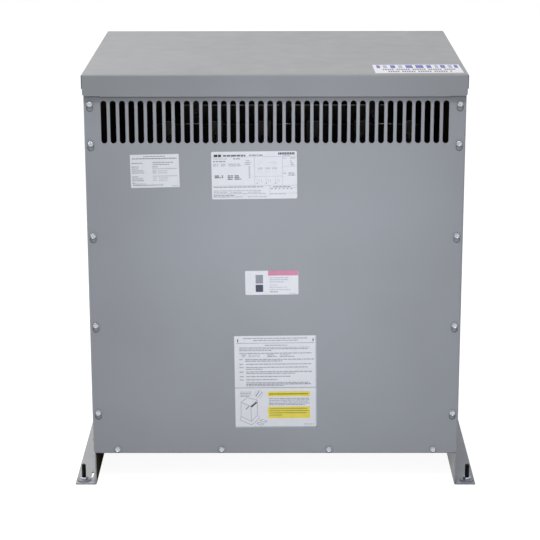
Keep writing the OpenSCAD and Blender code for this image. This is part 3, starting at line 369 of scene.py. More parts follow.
# Printed polyester film: satin white with a faint blue cast, and the ink's edge
# is soft, so the paper tone and the ink tone both waver by a few per cent.
def film_finish(name, light, dark, roughness):
    material, tree = new_finish(name)
    place = add(tree, "ShaderNodeTexCoord")
    waver = add(tree, "ShaderNodeTexNoise", {"Vector": (place, "Object"), "Scale": 90.0, "Detail": 2.0})
    tone = ramp(tree, (waver, "Fac"), (0.35, linear(dark)), (0.65, linear(light)))
    ripple = add(tree, "ShaderNodeTexNoise", {"Vector": (place, "Object"), "Scale": 45.0, "Detail": 1.0})
    bump = add(tree, "ShaderNodeBump", {"Height": (ripple, "Fac"), "Strength": 0.15, "Distance": 0.0002})
    film = add(tree, "ShaderNodeBsdfPrincipled", {
        "Base Color": (tone, "Color"), "Roughness": roughness, "Normal": (bump, "Normal"), "IOR": 1.5})
    add(tree, "ShaderNodeOutputMaterial", {"Surface": (film, "BSDF")})
    label_inks[name] = material
    return material


film_finish("film_white", "#eeeef2", "#eaebee", 0.38)
film_finish("film_ink_dark", "#3a3b44", "#34353d", 0.45)
film_finish("film_ink_slate", "#70727d", "#6a6c77", 0.45)
film_finish("film_ink_grey", "#9a9ca6", "#9496a0", 0.45)
film_finish("film_ink_pale", "#c0c2cb", "#babcc6", 0.45)
film_finish("film_ink_navy", "#45475f", "#3f4159", 0.45)
film_finish("film_ink_blue", "#5a5cb8", "#5557b3", 0.45)
film_finish("film_ink_violet", "#aeb0dc", "#a9abd8", 0.45)
film_finish("film_ink_rose", "#d98fac", "#d48aa7", 0.45)
film_finish("film_ink_yellow", "#f4e45c", "#eddd56", 0.45)
film_finish("film_ink_olive", "#9d9440", "#978e3b", 0.45)
INK_ORDER = list(label_inks)


def bars(seed, u0, u1, v, tall, ink, words=True):
    """A row of print as word-long bars from u0 to u1, v from the top, all in shares of the label."""
    if not words:
        return [(u0, v - tall / 2, u1, v + tall / 2, ink)]
    lengths = random.Random(seed)
    row, u = [], u0
    while u < u1 - 0.004:
        end = min(u1, u + lengths.uniform(0.016, 0.062))
        row.append((u, v - tall / 2, end, v + tall / 2, ink))
        u = end + 0.007
    return row


def label(name, centre, size, tilt, corner_r, fields, strokes=(), on_roof=False):
    """A film of size mm at centre mm, turned by tilt degrees, with print fields in shares of its size
    and strokes as (u0, v0, u1, v1, width in mm, ink)."""
    w, h = size
    if on_roof:
        stand = Matrix.Translation(Vector((centre[0], centre[1], ROOF_Z)) * MM)
    else:
        stand = (Matrix.Translation(Vector((centre[0], -COVER_FACE_Y, centre[1])) * MM)
                 @ Matrix.Rotation(math.pi / 2, 4, "X"))
    matrix = stand @ Matrix.Rotation(math.radians(tilt), 4, "Z") @ Matrix.Scale(MM, 4)

    def slab(shape, outline, z0, z1, ink):
        low = [shape.verts.new(matrix @ Vector((x, y, z0))) for x, y in outline]
        high = [shape.verts.new(matrix @ Vector((x, y, z1))) for x, y in outline]
        sides = [(low[i], low[(i + 1) % len(low)], high[(i + 1) % len(low)], high[i]) for i in range(len(low))]
        for corners in [tuple(high), tuple(reversed(low))] + sides:
            shape.faces.new(corners).material_index = INK_ORDER.index(ink)

    def place(u, v):
        return ((u - 0.5) * w, (0.5 - v) * h)

    def build(shape):
        outline = []
        for quarter, (sx, sy) in enumerate(((1, 1), (-1, 1), (-1, -1), (1, -1))):
            for step in range(5):
                angle = math.pi / 2 * (quarter + step / 4)
                outline.append((sx * (w / 2 - corner_r) + corner_r * math.cos(angle),
                                sy * (h / 2 - corner_r) + corner_r * math.sin(angle)))
        slab(shape, outline, 0.0, FILM_T, "film_white")
        for u0, v0, u1, v1, ink in fields:
            slab(shape, [place(u0, v1), place(u1, v1), place(u1, v0), place(u0, v0)],
                 FILM_T, FILM_T + INK_T, ink)
        for u0, v0, u1, v1, width, ink in strokes:
            a, b = Vector(place(u0, v0)), Vector(place(u1, v1))
            across = (b - a).normalized().orthogonal() * width / 2
            corners = [a - across, b - across, b + across, a + across]
            slab(shape, [tuple(c) for c in corners], FILM_T + INK_T, FILM_T + 1.5 * INK_T, ink)

    return mesh_piece(name, build, [label_inks[i] for i in INK_ORDER])


# Left label: two centred heading rows, then two columns of short rows
left_rows = [
    (0.27, 0.72, 0.062, "film_ink_grey"), (0.045, 0.955, 0.125, "film_ink_slate"),
    (0.03, 0.25, 0.262, "film_ink_grey"), (0.46, 0.88, 0.245, "film_ink_grey"), (0.46, 0.80, 0.305, "film_ink_grey"),
    (0.03, 0.17, 0.37, "film_ink_grey"), (0.455, 0.56, 0.375, "film_ink_grey"),
    (0.03, 0.16, 0.43, "film_ink_grey"), (0.455, 0.96, 0.435, "film_ink_pale"),
    (0.03, 0.265, 0.49, "film_ink_grey"), (0.455, 0.54, 0.50, "film_ink_grey"), (0.56, 0.76, 0.50, "film_ink_pale"),
    (0.03, 0.285, 0.55, "film_ink_grey"), (0.455, 0.53, 0.56, "film_ink_grey"), (0.56, 0.76, 0.56, "film_ink_pale"),
    (0.03, 0.16, 0.67, "film_ink_grey"), (0.455, 0.96, 0.655, "film_ink_pale"),
    (0.03, 0.25, 0.73, "film_ink_grey"), (0.455, 0.54, 0.715, "film_ink_pale"), (0.58, 0.76, 0.715, "film_ink_pale"),
    (0.03, 0.28, 0.785, "film_ink_grey"), (0.455, 0.54, 0.78, "film_ink_pale"), (0.58, 0.76, 0.78, "film_ink_pale"),
    (0.03, 0.09, 0.855, "film_ink_grey"), (0.04, 0.32, 0.885, "film_ink_pale"), (0.04, 0.67, 0.925, "film_ink_grey"),
    (0.85, 0.97, 0.96, "film_ink_pale"),
]
label("data_label_left", (-249.4, 700.5), (101.4, 70.5), 1.1, 1.0,
      [field for k, (u0, u1, v, ink) in enumerate(left_rows) for field in bars(f"left {k}", u0, u1, v, 0.024, ink)])

# Nameplate: ruled boxes, a heading bar, a dark field top right and small rows in the boxes
plate_rows = [
    (0.03, 0.115, 0.085, 0.05, "film_ink_dark"), (0.14, 0.40, 0.085, 0.036, "film_ink_slate"),
    (0.44, 0.60, 0.082, 0.026, "film_ink_grey"),
    (0.02, 0.18, 0.152, 0.02, "film_ink_pale"), (0.255, 0.335, 0.152, 0.02, "film_ink_grey"),
    (0.02, 0.17, 0.205, 0.024, "film_ink_grey"),
    (0.02, 0.085, 0.262, 0.02, "film_ink_pale"), (0.11, 0.17, 0.262, 0.02, "film_ink_pale"),
    (0.20, 0.335, 0.262, 0.02, "film_ink_pale"),
    (0.02, 0.085, 0.297, 0.02, "film_ink_pale"), (0.11, 0.17, 0.297, 0.02, "film_ink_pale"),
    (0.20, 0.345, 0.297, 0.02, "film_ink_pale"),
    (0.405, 0.45, 0.195, 0.02, "film_ink_pale"), (0.39, 0.465, 0.235, 0.02, "film_ink_pale"),
    (0.395, 0.46, 0.272, 0.02, "film_ink_pale"),
    (0.035, 0.085, 0.508, 0.024, "film_ink_slate"), (0.118, 0.135, 0.508, 0.024, "film_ink_slate"),
    (0.188, 0.25, 0.508, 0.024, "film_ink_slate"), (0.268, 0.325, 0.508, 0.024, "film_ink_slate"),
    (0.035, 0.105, 0.542, 0.024, "film_ink_slate"), (0.118, 0.135, 0.542, 0.024, "film_ink_slate"),
    (0.188, 0.25, 0.542, 0.024, "film_ink_slate"), (0.268, 0.325, 0.542, 0.024, "film_ink_slate"),
    (0.188, 0.25, 0.578, 0.024, "film_ink_slate"), (0.268, 0.345, 0.578, 0.024, "film_ink_slate"),
    (0.02, 0.60, 0.745, 0.018, "film_ink_grey"), (0.02, 0.575, 0.822, 0.018, "film_ink_pale"),
    (0.02, 0.18, 0.856, 0.018, "film_ink_pale"), (0.22, 0.36, 0.856, 0.018, "film_ink_pale"),
    (0.42, 0.57, 0.856, 0.018, "film_ink_pale"), (0.02, 0.64, 0.886, 0.018, "film_ink_pale"),
    (0.02, 0.27, 0.922, 0.018, "film_ink_grey"), (0.02, 0.37, 0.955, 0.018, "film_ink_pale"),
    (0.42, 0.64, 0.955, 0.018, "film_ink_pale"),
    (0.72, 0.92, 0.745, 0.018, "film_ink_grey"), (0.685, 0.87, 0.90, 0.016, "film_ink_pale"),
    (0.92, 0.98, 0.148, 0.02, "film_ink_pale"), (0.92, 0.94, 0.21, 0.02, "film_ink_pale"),
    (0.925, 0.965, 0.25, 0.02, "film_ink_pale"), (0.925, 0.965, 0.29, 0.02, "film_ink_pale"),
    (0.90, 0.965, 0.465, 0.022, "film_ink_grey"), (0.90, 0.98, 0.505, 0.022, "film_ink_grey"),
    (0.84, 0.88, 0.148, 0.02, "film_ink_pale"), (0.84, 0.87, 0.465, 0.022, "film_ink_pale"),
]
plate_fields = [field for k, (u0, u1, v, tall, ink) in enumerate(plate_rows)
                for field in bars(f"plate {k}", u0, u1, v, tall, ink)]
plate_fields += [(0.435, 0.315 + 0.043 * k, 0.452, 0.337 + 0.043 * k, "film_ink_grey") for k in range(6)]
plate_fields += [(0.692 + 0.046 * k, 0.78, 0.712 + 0.046 * k, 0.80, "film_ink_grey") for k in range(6)]
plate_fields += [(0.782 + 0.0195 * k, 0.028, 0.797 + 0.0195 * k, 0.075, "film_ink_navy") for k in range(10)]
plate_fields += [(0.835, 0.088, 0.92, 0.102, "film_ink_pale")]
rule = 0.45
plate_lines = [
    (0.0, 0.112, 1.0, 0.112, rule, "film_ink_grey"), (0.0, 0.718, 1.0, 0.718, rule, "film_ink_grey"),
    (0.505, 0.112, 0.505, 0.718, rule, "film_ink_grey"), (0.832, 0.112, 0.832, 0.718, rule, "film_ink_grey"),
    (0.505, 0.525, 0.832, 0.525, rule, "film_ink_grey"), (0.832, 0.318, 1.0, 0.318, rule, "film_ink_grey"),
    (0.68, 0.718, 0.68, 0.925, rule, "film_ink_grey"), (0.68, 0.765, 1.0, 0.765, rule, "film_ink_grey"),
    (0.68, 0.885, 1.0, 0.885, rule, "film_ink_grey"), (0.0, 0.94, 0.68, 0.925, rule, "film_ink_pale"),
]
# winding diagram: three zigzag windings between two lines, and three small groups of taps under it
for group in range(3):
    u = 0.545 + 0.083 * group
    for tooth in range(4):
        plate_lines.append((u + 0.014 * tooth, 0.335, u + 0.014 * tooth + 0.007, 0.385, 0.4, "film_ink_grey"))
        plate_lines.append((u + 0.014 * tooth + 0.007, 0.385, u + 0.014 * tooth + 0.014, 0.335, 0.4, "film_ink_grey"))
    plate_lines.append((u, 0.43, u + 0.06, 0.43, 0.35, "film_ink_pale"))
    v = 0.56 + 0.002 * group
    for tick in range(3):
        u = 0.53 + 0.107 * group + 0.026 * tick
        plate_lines.append((u, v + 0.01 * tick, u, v + 0.09, 0.45, "film_ink_grey"))
    plate_fields += [(0.525 + 0.107 * group, 0.665, 0.54 + 0.107 * group, 0.682, "film_ink_grey")]
plate_lines += [(0.55, 0.285, 0.60, 0.205, 0.4, "film_ink_pale"), (0.66, 0.235, 0.73, 0.24, 0.4, "film_ink_pale"),
                (0.73, 0.24, 0.745, 0.205, 0.4, "film_ink_pale"), (0.745, 0.205, 0.765, 0.24, 0.4, "film_ink_pale"),
                (0.765, 0.24, 0.745, 0.272, 0.4, "film_ink_pale"), (0.745, 0.272, 0.73, 0.24, 0.4, "film_ink_pale")]
label("nameplate", (-42.8, 691.3), (177.6, 101.2), 0.65, 3.0, plate_fields, plate_lines)

# Middle label: a plain rose band, plain blocks at the left and pale rows at the right
middle_rows = [
    (0.46, 0.81, 0.30, 0.035, "film_ink_pale"), (0.46, 0.81, 0.38, 0.035, "film_ink_pale"),
    (0.46, 0.73, 0.47, 0.035, "film_ink_pale"), (0.46, 0.60, 0.60, 0.03, "film_ink_pale"),
    (0.46, 0.79, 0.69, 0.03, "film_ink_pale"), (0.46, 0.86, 0.79, 0.03, "film_ink_pale"),
    (0.46, 0.61, 0.88, 0.035, "film_ink_grey"), (0.82, 0.96, 0.962, 0.02, "film_ink_pale"),
]
middle_fields = [field for k, (u0, u1, v, tall, ink) in enumerate(middle_rows)
                 for field in bars(f"middle {k}", u0, u1, v, tall, ink)]
middle_fields += [(0.43, 0.0, 0.996, 0.205, "film_ink_rose"), (0.195, 0.17, 0.335, 0.53, "film_ink_grey"),
                  (0.195, 0.58, 0.335, 0.88, "film_ink_navy")]
label("plain_label_middle", (-6.8, 459.0), (112.3, 52.8), 0.65, 2.0, middle_fields)

# Lower sheet: a rule under two heading rows, paragraphs, a second rule, a box drawing and two yellow fields
sheet_rows = [
    (0.11, 0.885, 0.027, "film_ink_grey"), (0.23, 0.775, 0.05, "film_ink_grey"), (0.37, 0.645, 0.102, "film_ink_grey"),
    (0.06, 0.92, 0.125, "film_ink_pale"), (0.06, 0.90, 0.14, "film_ink_grey"), (0.06, 0.45, 0.158, "film_ink_grey"),
    (0.06, 0.94, 0.188, "film_ink_grey"), (0.09, 0.14, 0.206, "film_ink_grey"), (0.17, 0.31, 0.206, "film_ink_pale"),
    (0.40, 0.48, 0.206, "film_ink_grey"), (0.55, 0.67, 0.206, "film_ink_pale"), (0.09, 0.13, 0.223, "film_ink_pale"),
    (0.17, 0.31, 0.223, "film_ink_pale"), (0.40, 0.52, 0.223, "film_ink_grey"), (0.55, 0.73, 0.223, "film_ink_grey"),
    (0.06, 0.105, 0.255, "film_ink_grey"), (0.13, 0.97, 0.255, "film_ink_grey"), (0.13, 0.58, 0.272, "film_ink_grey"),
    (0.06, 0.11, 0.306, "film_ink_grey"), (0.14, 0.94, 0.306, "film_ink_grey"),
    (0.06, 0.11, 0.34, "film_ink_grey"), (0.14, 0.89, 0.34, "film_ink_grey"), (0.14, 0.34, 0.36, "film_ink_grey"),
    (0.06, 0.11, 0.39, "film_ink_grey"), (0.14, 0.94, 0.388, "film_ink_grey"), (0.14, 0.74, 0.406, "film_ink_grey"),
    (0.06, 0.11, 0.44, "film_ink_grey"), (0.14, 0.68, 0.44, "film_ink_grey"),
    (0.06, 0.11, 0.475, "film_ink_grey"), (0.14, 0.52, 0.475, "film_ink_grey"),
    (0.14, 0.91, 0.507, "film_ink_grey"), (0.14, 0.93, 0.523, "film_ink_slate"), (0.14, 0.60, 0.539, "film_ink_grey"),
    (0.065, 0.20, 0.607, "film_ink_pale"), (0.065, 0.19, 0.623, "film_ink_grey"),
    (0.065, 0.20, 0.639, "film_ink_pale"), (0.065, 0.18, 0.653, "film_ink_grey"),
    (0.414, 0.90, 0.682, "film_ink_grey"), (0.414, 0.91, 0.70, "film_ink_grey"), (0.414, 0.89, 0.718, "film_ink_pale"),
    (0.414, 0.91, 0.734, "film_ink_grey"), (0.414, 0.85, 0.75, "film_ink_grey"),
    (0.84, 0.975, 0.965, "film_ink_pale"),
]
sheet_fields = [field for k, (u0, u1, v, ink) in enumerate(sheet_rows)
                for field in bars(f"sheet {k}", u0, u1, v, 0.0085, ink)]
sheet_fields += [(0.401, 0.604, 0.914, 0.659, "film_ink_yellow"), (0.401, 0.771, 0.914, 0.898, "film_ink_yellow"),
                 (0.037, 0.034, 0.049, 0.066, "film_ink_dark"), (0.951, 0.032, 0.963, 0.062, "film_ink_dark"),
                 # painted light: the pale bands along the sheet's right and bottom edges stand in for its glossy edge
                 (0.985, 0.0, 1.0, 1.0, "film_ink_pale"), (0.0, 0.987, 1.0, 1.0, "film_ink_pale")]
sheet_lines = [(0.025, 0.078, 0.975, 0.078, 0.8, "film_ink_slate"), (0.0, 0.562, 1.0, 0.562, 1.3, "film_ink_grey"),
               (0.414, 0.632, 0.894, 0.632, 3.0, "film_ink_olive")]
sheet_lines += [(u0, v, u1, v, 1.6, "film_ink_olive") for u0, u1, v in
                ((0.42, 0.885, 0.793), (0.42, 0.9, 0.816), (0.42, 0.87, 0.839), (0.42, 0.575, 0.863))]
# box on its base, drawn in outline: the roof, two faces, the base, a dark vent and two loose slats
box_drawing = [((0.08, 0.72), (0.155, 0.67), (0.28, 0.695), (0.20, 0.764), (0.08, 0.72)),
               ((0.08, 0.72), (0.08, 0.877), (0.205, 0.93), (0.20, 0.764)), ((0.28, 0.695), (0.28, 0.86), (0.205, 0.93)),
               ((0.08, 0.877), (0.062, 0.913), (0.21, 0.97), (0.30, 0.897), (0.295, 0.865)),
               ((0.27, 0.953), (0.325, 0.973), (0.357, 0.961), (0.303, 0.941), (0.27, 0.953)),
               ((0.308, 0.92), (0.37, 0.945), (0.40, 0.93), (0.34, 0.908), (0.308, 0.92)),
               ((0.14, 0.80), (0.18, 0.755), (0.197, 0.765))]
for outline in box_drawing:
    sheet_lines += [(a[0] - 0.01, a[1], b[0] - 0.01, b[1], 0.7, "film_ink_slate") for a, b in zip(outline, outline[1:])]
ring = [(0.289 + 0.047 * math.cos(math.tau * k / 18), 0.632 + 0.042 * math.sin(math.tau * k / 18)) for k in range(19)]
sheet_lines += [(*a, *b, 0.45, "film_ink_grey") for a, b in zip(ring, ring[1:])]
sheet_lines += [(0.254, 0.652, 0.294, 0.60, 1.6, "film_ink_slate"), (0.284, 0.66, 0.329, 0.612, 0.9, "film_ink_slate"),
                (0.13, 0.80, 0.165, 0.765, 1.6, "film_ink_slate"), (0.195, 0.772, 0.264, 0.72, 3.4, "film_ink_dark")]
label("instruction_sheet", (1.4, 237.7), (175.7, 207.6), 0.6, 0.6, sheet_fields, sheet_lines)

# Roof label: a row of blue blocks along its rear edge and two rows of small dark marks
roof_fields = [(u0, 0.06, u1, 0.42, ink) for u0, u1, ink in (
    (0.04, 0.08, "film_ink_blue"), (0.115, 0.16, "film_ink_violet"), (0.20, 0.255, "film_ink_blue"),
    (0.29, 0.335, "film_ink_violet"), (0.375, 0.455, "film_ink_blue"), (0.49, 0.58, "film_ink_blue"),
    (0.615, 0.67, "film_ink_blue"), (0.71, 0.75, "film_ink_violet"), (0.775, 0.83, "film_ink_blue"),
    (0.865, 0.91, "film_ink_violet"), (0.935, 0.975, "film_ink_blue"))]
roof_fields += [(0.10 + 0.026 * k, 0.50, 0.118 + 0.026 * k, 0.66, "film_ink_slate") for k in range(32) if k % 7 != 5]
roof_fields += [(0.155 + 0.026 * k, 0.74, 0.173 + 0.026 * k, 0.9, "film_ink_slate") for k in range(28) if k % 7 != 5]
label("roof_label", (296.8, -237.6), (182.0, 103.5), 1.1, 1.5, roof_fields, on_roof=True)


# Isolation pads between the base channels and the core's lower clamps.
# Moulded neoprene blocks, waffle-faced, held down by one plated bolt each;
# the base channels are bolted through the side panels' webs.

# Moulded neoprene: matt black with a grey bloom and a 6 mm waffle on its faces.
neoprene, tree = new_finish("neoprene_moulded")
place = add(tree, "ShaderNodeTexCoord")
bloom = add(tree, "ShaderNodeTexNoise", {"Vector": (place, "Object"), "Scale": 60.0, "Detail": 4.0})
black = ramp(tree, (bloom, "Fac"), (0.3, linear("#1f1f20")), (0.75, linear("#39393a")))
waffle = add(tree, "ShaderNodeTexVoronoi", {"Vector": (place, "Object"), "Scale": 166.0, "Randomness": 0.0})
bump = add(tree, "ShaderNodeBump", {"Height": (waffle, "Distance"), "Strength": 0.6, "Distance": 0.0008})
rubber = add(tree, "ShaderNodeBsdfPrincipled", {
    "Base Color": (black, "Color"), "Roughness": 0.82, "Normal": (bump, "Normal"), "IOR": 1.52})
add(tree, "ShaderNodeOutputMaterial", {"Surface": (rubber, "BSDF")})
dress(neoprene, "isolation_pads")
dress(zinc_plate, "base_bolts", "base_nuts", "pad_bolts", "pad_nuts")


# Core: three legs and two yokes of stacked grain-oriented silicon steel.
# Sheared laminations clamped between channel frames by yoke bolts and tie
# rods, then dipped, so the stack's edges show fine dark lines under varnish.

# Laminated silicon steel: 0.27 mm sheets, drawn as 1.8 mm bands so that they
# show; blue-grey oxide with a brown varnish run here and there, drawn near black as painted shade for the unlit inside.
lamination, tree = new_finish("silicon_steel_laminations_varnished")
place = add(tree, "ShaderNodeTexCoord")
split = add(tree, "ShaderNodeSeparateXYZ", {"Vector": (place, "Object")})
sheets = add(tree, "ShaderNodeTexNoise", {"W": (split, "Y"), "Scale": 550.0, "Detail": 1.0}, noise_dimensions="1D")
edge = ramp(tree, (sheets, "Fac"), (0.35, linear("#26292e")), (0.5, linear("#34373d")), (0.7, linear("#201f21")))
runs = add(tree, "ShaderNodeTexNoise", {"Vector": (place, "Object"), "Scale": 14.0, "Detail": 3.0})
amber = ramp(tree, (runs, "Fac"), (0.55, grey_level(0.0)), (0.75, grey_level(0.45)))
tone = add(tree, "ShaderNodeMixRGB", {"Fac": (amber, "Color"), "Color1": (edge, "Color"), "Color2": linear("#4a3524")})
bump = add(tree, "ShaderNodeBump", {"Height": (sheets, "Fac"), "Strength": 0.5, "Distance": 0.0003})
steel = add(tree, "ShaderNodeBsdfPrincipled", {
    "Base Color": (tone, "Color"), "Roughness": 0.42, "Metallic": 0.5, "Normal": (bump, "Normal"),
    "Specular IOR Level": 0.2})
add(tree, "ShaderNodeOutputMaterial", {"Surface": (steel, "BSDF")})
dress(lamination, "core_legs", "top_yoke")

# Black enamel on the clamp channels, its black partly painted shade for the unlit inside: brushed on thick, with runs
# about 15 mm wide, half gloss.
black_enamel, tree = new_finish("black_enamel_brushed")
place = add(tree, "ShaderNodeTexCoord")
drip = add(tree, "ShaderNodeTexNoise", {"Vector": (place, "Object"), "Scale": 65.0, "Detail": 3.0})
black = ramp(tree, (drip, "Fac"), (0.35, linear("#161617")), (0.7, linear("#212122")))
bump = add(tree, "ShaderNodeBump", {"Height": (drip, "Fac"), "Strength": 0.4, "Distance": 0.0004})
enamel = add(tree, "ShaderNodeBsdfPrincipled", {
    "Base Color": (black, "Color"), "Roughness": 0.55, "Normal": (bump, "Normal"), "IOR": 1.45,
    "Specular IOR Level": 0.08})
add(tree, "ShaderNodeOutputMaterial", {"Surface": (enamel, "BSDF")})
dress(black_enamel, "lower_clamp_front", "lower_clamp_rear", "upper_clamp_front", "upper_clamp_rear")
dress(zinc_plate, "yoke_bolts", "yoke_nuts", "tie_rods", "tie_rod_nuts")


# Coils: low-voltage winding inside, high-voltage outside, an air duct between.
# Paper-wrapped strap wound turn on turn over a board former, taped, then
# dipped and baked in polyester varnish, which runs and darkens at the edges.

# Varnished paper winding: dark brown after two dips and a bake, drawn near black as painted shade for the
# unlit inside; turns about 7 mm high that show through the tape as soft ribs, and darker varnish in the valleys.
winding, tree = new_finish("paper_wrapped_strap_dipped_varnish")
place = add(tree, "ShaderNodeTexCoord")
split = add(tree, "ShaderNodeSeparateXYZ", {"Vector": (place, "Object")})
turns = add(tree, "ShaderNodeMath", {0: (split, "Z"), 1: math.tau / 0.007}, operation="MULTIPLY")
ribs = add(tree, "ShaderNodeMath", {0: (turns, "Value")}, operation="SINE")
runs = add(tree, "ShaderNodeTexNoise", {"Vector": (place, "Object"), "Scale": 26.0, "Detail": 4.0})
level = add(tree, "ShaderNodeMath", {0: (ribs, "Value"), 1: 0.16, 2: (runs, "Fac")}, operation="MULTIPLY_ADD")
amber = ramp(tree, (level, "Value"), (0.3, linear("#1d140d")), (0.5, linear("#2b1e12")), (0.7, linear("#3a2a19")))
bump = add(tree, "ShaderNodeBump", {"Height": (level, "Value"), "Strength": 0.6, "Distance": 0.0012})
varnish = add(tree, "ShaderNodeBsdfPrincipled", {
    "Base Color": (amber, "Color"), "Roughness": 0.46, "Normal": (bump, "Normal"), "IOR": 1.4,
    "Specular IOR Level": 0.2})
add(tree, "ShaderNodeOutputMaterial", {"Surface": (varnish, "BSDF")})
dress(winding, *[f"{side}_voltage_winding_{phase}" for side in ("low", "high") for phase in "abc"])

# Phenolic board: dark brown, drawn near black as painted shade for the unlit inside; hot-pressed with
# short fibres about 12 mm long that mottle it, saw-cut edges, half matt.
pressed_board, tree = new_finish("phenolic_board_pressed")
place = add(tree, "ShaderNodeTexCoord")
fibres = add(tree, "ShaderNodeTexNoise", {"Vector": (place, "Object"), "Scale": 85.0, "Detail": 5.0, "Distortion": 2.0})
brown = ramp(tree, (fibres, "Fac"), (0.35, linear("#0f0b0a")), (0.55, linear("#16110f")), (0.72, linear("#201815")))
bump = add(tree, "ShaderNodeBump", {"Height": (fibres, "Fac"), "Strength": 0.3, "Distance": 0.0003})
board = add(tree, "ShaderNodeBsdfPrincipled", {
    "Base Color": (brown, "Color"), "Roughness": 0.6, "Normal": (bump, "Normal"), "IOR": 1.45,
    "Specular IOR Level": 0.15})
add(tree, "ShaderNodeOutputMaterial", {"Surface": (board, "BSDF")})
dress(pressed_board, "coil_formers", "duct_sticks", "lower_coil_blocks", "upper_coil_blocks",
      "phase_barriers", "terminal_board", "tap_boards")


# Terminals, taps and leads: bars brought up from each coil to the board.
# Aluminium bar, sheared, bent cold and tin-plated, bolted with plated
# hardware; links bridge two of eight tap studs on each coil's face.

# Tin-plated aluminium bar: soft white metal, drawn dark grey as painted shade for the unlit inside, with drawing
# lines along Z about 0.4 mm apart, drawn at 1.5 mm, and dull finger-worn patches.
tinned_bar, tree = new_finish("tin_plated_bar_drawn")
place = add(tree, "ShaderNodeTexCoord")
along = add(tree, "ShaderNodeMapping", {"Vector": (place, "Object"), "Scale": (1.0, 1.0, 0.05)})
draw = add(tree, "ShaderNodeTexNoise", {"Vector": (along, "Vector"), "Scale": 650.0, "Detail": 2.0})
white = ramp(tree, (draw, "Fac"), (0.3, linear("#45443f")), (0.7, linear("#5b5954")))
worn = add(tree, "ShaderNodeTexNoise", {"Vector": (place, "Object"), "Scale": 30.0, "Detail": 3.0})
dull = ramp(tree, (worn, "Fac"), (0.35, grey_level(0.3)), (0.7, grey_level(0.5)))
bump = add(tree, "ShaderNodeBump", {"Height": (draw, "Fac"), "Strength": 0.25, "Distance": 0.0001})
tin = add(tree, "ShaderNodeBsdfPrincipled", {
    "Base Color": (white, "Color"), "Roughness": (dull, "Color"), "Normal": (bump, "Normal"), "Metallic": 1.0})
add(tree, "ShaderNodeOutputMaterial", {"Surface": (tin, "BSDF")})
dress(tinned_bar, "low_voltage_bars", "high_voltage_bars", "tap_links", "delta_leads", "neutral_leads", "neutral_bar")
dress(zinc_plate, "board_brackets", "terminal_bolts", "terminal_nuts", "tap_studs", "ground_strap_bolts")

# Tinned copper braid of the ground strap: flat, plaited at about 3 mm, with a soft metal sparkle.
braid, tree = new_finish("tinned_copper_braid")
place = add(tree, "ShaderNodeTexCoord")
slant = add(tree, "ShaderNodeMapping", {"Vector": (place, "Object"), "Rotation": (0.6, 0.6, 0.8)})
plait = add(tree, "ShaderNodeTexVoronoi", {"Vector": (slant, "Vector"), "Scale": 330.0, "Randomness": 0.15})
tone = ramp(tree, (plait, "Distance"), (0.1, linear("#d0cbc2")), (0.6, linear("#8d8577")))
bump = add(tree, "ShaderNodeBump", {"Height": (plait, "Distance"), "Strength": 0.8, "Distance": 0.0006}, invert=True)
wire = add(tree, "ShaderNodeBsdfPrincipled", {
    "Base Color": (tone, "Color"), "Roughness": 0.42, "Normal": (bump, "Normal"), "Metallic": 1.0})
add(tree, "ShaderNodeOutputMaterial", {"Surface": (wire, "BSDF")})
dress(braid, "ground_strap")


# Floor: a pale sheet that the camera, and metal, see as white apart from the
# unit's soft shadow. To other rays it is a mid-grey floor, so it throws
# little light up under the body.

floor_size = 14.0
floor_mesh = bpy.data.meshes.new("floor")
half = floor_size / 2
floor_mesh.from_pydata([(-half, -half, 0), (half, -half, 0), (half, half, 0), (-half, half, 0)], [], [(0, 1, 2, 3)])
floor = bpy.data.objects.new("floor", floor_mesh)
bpy.context.scene.collection.objects.link(floor)
floor.location.z = -0.0002
paper, tree = new_finish("studio_paper")
path = add(tree, "ShaderNodeLightPath")
glossy_too = add(tree, "ShaderNodeMath", {0: (path, "Is Camera Ray"), 1: (path, "Is Glossy Ray")}, operation="MAXIMUM")
shown = add(tree, "ShaderNodeMath", {0: (glossy_too, "Value"), 1: (path, "Is Transmission Ray")}, operation="MAXIMUM")
lit = add(tree, "ShaderNodeBsdfDiffuse", {"Color": linear("#969696")})
glow = add(tree, "ShaderNodeEmission", {"Color": linear("#ffffff"), "Strength": 0.93})
white = add(tree, "ShaderNodeAddShader", {0: (lit, "BSDF"), 1: (glow, "Emission")})
grey = add(tree, "ShaderNodeBsdfDiffuse", {"Color": linear("#7c7c7c")})
seen = add(tree, "ShaderNodeMixShader", {"Fac": (shown, "Value"), 1: (grey, "BSDF"), 2: (white, "Shader")})
add(tree, "ShaderNodeOutputMaterial", {"Surface": (seen, "Shader")})
floor_mesh.materials.append(paper)

# Backdrop: the world is white to the camera, to gloss and through glass, and a dim room to the rest.
world = bpy.data.worlds.new("white_room")
bpy.context.scene.world = world
world.use_nodes = True
tree = world.node_tree
tree.nodes.clear()
path = add(tree, "ShaderNodeLightPath")
glossy_too = add(tree, "ShaderNodeMath", {0: (path, "Is Camera Ray"), 1: (path, "Is Glossy Ray")}, operation="MAXIMUM")
shown = add(tree, "ShaderNodeMath", {0: (glossy_too, "Value"), 1: (path, "Is Transmission Ray")}, operation="MAXIMUM")
room = add(tree, "ShaderNodeBackground", {"Color": linear("#f4f7ff"), "Strength": 0.47})
sheet = add(tree, "ShaderNodeBackground", {"Color": linear("#ffffff"), "Strength": 1.0})
seen = add(tree, "ShaderNodeMixShader", {"Fac": (shown, "Value"), 1: (room, "Background"), 2: (sheet, "Background")})
add(tree, "ShaderNodeOutputWorld", {"Surface": (seen, "Shader")})


# Lamps: a broad softbox above and to the left, a small one low at the left for the
# foot, a small one high in front that glints in the screws' crowns, and two in
# front at half height, which gloss doesn't see, for the front cover's pale middle.

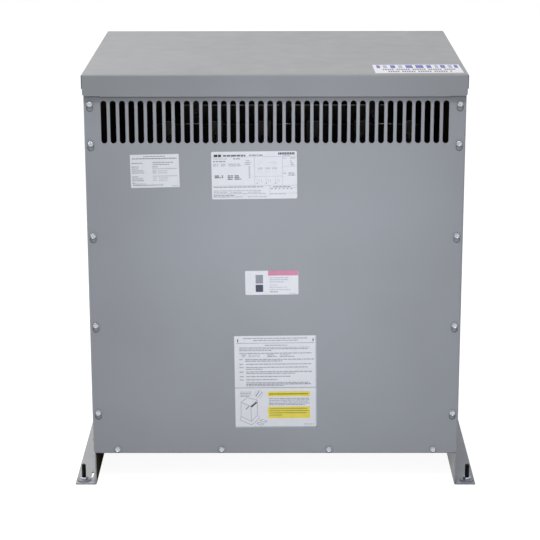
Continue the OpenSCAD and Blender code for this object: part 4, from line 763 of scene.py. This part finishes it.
def softbox(name, place, aim, size, power, colour):
    lamp = bpy.data.lights.new(name, "AREA")
    lamp.shape = "RECTANGLE"
    lamp.size, lamp.size_y = size
    lamp.energy = power
    lamp.color = linear(colour)[:3]
    stand = bpy.data.objects.new(name, lamp)
    bpy.context.scene.collection.objects.link(stand)
    stand.location = place
    stand.rotation_mode = "QUATERNION"
    stand.rotation_quaternion = (Vector(aim) - Vector(place)).to_track_quat("-Z", "Y")
    stand.visible_camera = False
    return stand


softbox("softbox_above", (-1.38, 0.3, 3.0), (0.0, 0.2, 0.8), (2.2, 2.2), 38.0, "#fff8ee")
softbox("softbox_left", (-1.4, 0.0, 0.88), (-0.42, 0.0, 0.0), (0.5, 0.5), 7.8, "#fffdf6")
softbox("softbox_high_front", (0.0, -2.2, 2.3), (0.0, -0.3, 0.5), (0.7, 0.5), 12.5, "#ffffff")
front = softbox("softbox_front", (0.0, -1.9, 0.5), (0.0, -0.3, 0.5), (1.8, 0.4), 0.7, "#f4f7ff")
strip = softbox("strip_front", (0.04, -1.0, 0.54), (0.04, -0.3, 0.54), (0.24, 0.7), 2.3, "#f4f7ff")
front.visible_glossy = strip.visible_glossy = False


# Camera: a long lens a little above the roof, square to the front.

FOCAL_PIXELS = 1846.69
FRAME_PIXELS = 540
YAW, PITCH, ROLL = -0.0053, 0.27337, -0.0021
looking = Vector((math.sin(YAW) * math.cos(PITCH), math.cos(YAW) * math.cos(PITCH), -math.sin(PITCH)))
level_right = Vector((math.cos(YAW), -math.sin(YAW), 0))
level_up = level_right.cross(looking)
right = math.cos(ROLL) * level_right + math.sin(ROLL) * level_up
up = -math.sin(ROLL) * level_right + math.cos(ROLL) * level_up
camera_data = bpy.data.cameras.new("camera")
camera_data.sensor_width = 36.0
camera_data.lens = FOCAL_PIXELS / FRAME_PIXELS * camera_data.sensor_width
camera_data.clip_end = 100.0
camera = bpy.data.objects.new("camera", camera_data)
bpy.context.scene.collection.objects.link(camera)
camera.matrix_world = Matrix((
    (right.x, up.x, -looking.x, 0.00923), (right.y, up.y, -looking.y, -4.05139),
    (right.z, up.z, -looking.z, 1.53726), (0, 0, 0, 1)))
bpy.context.scene.camera = camera
bpy.context.scene.view_settings.view_transform = "Standard"

bpy.context.view_layer.update()
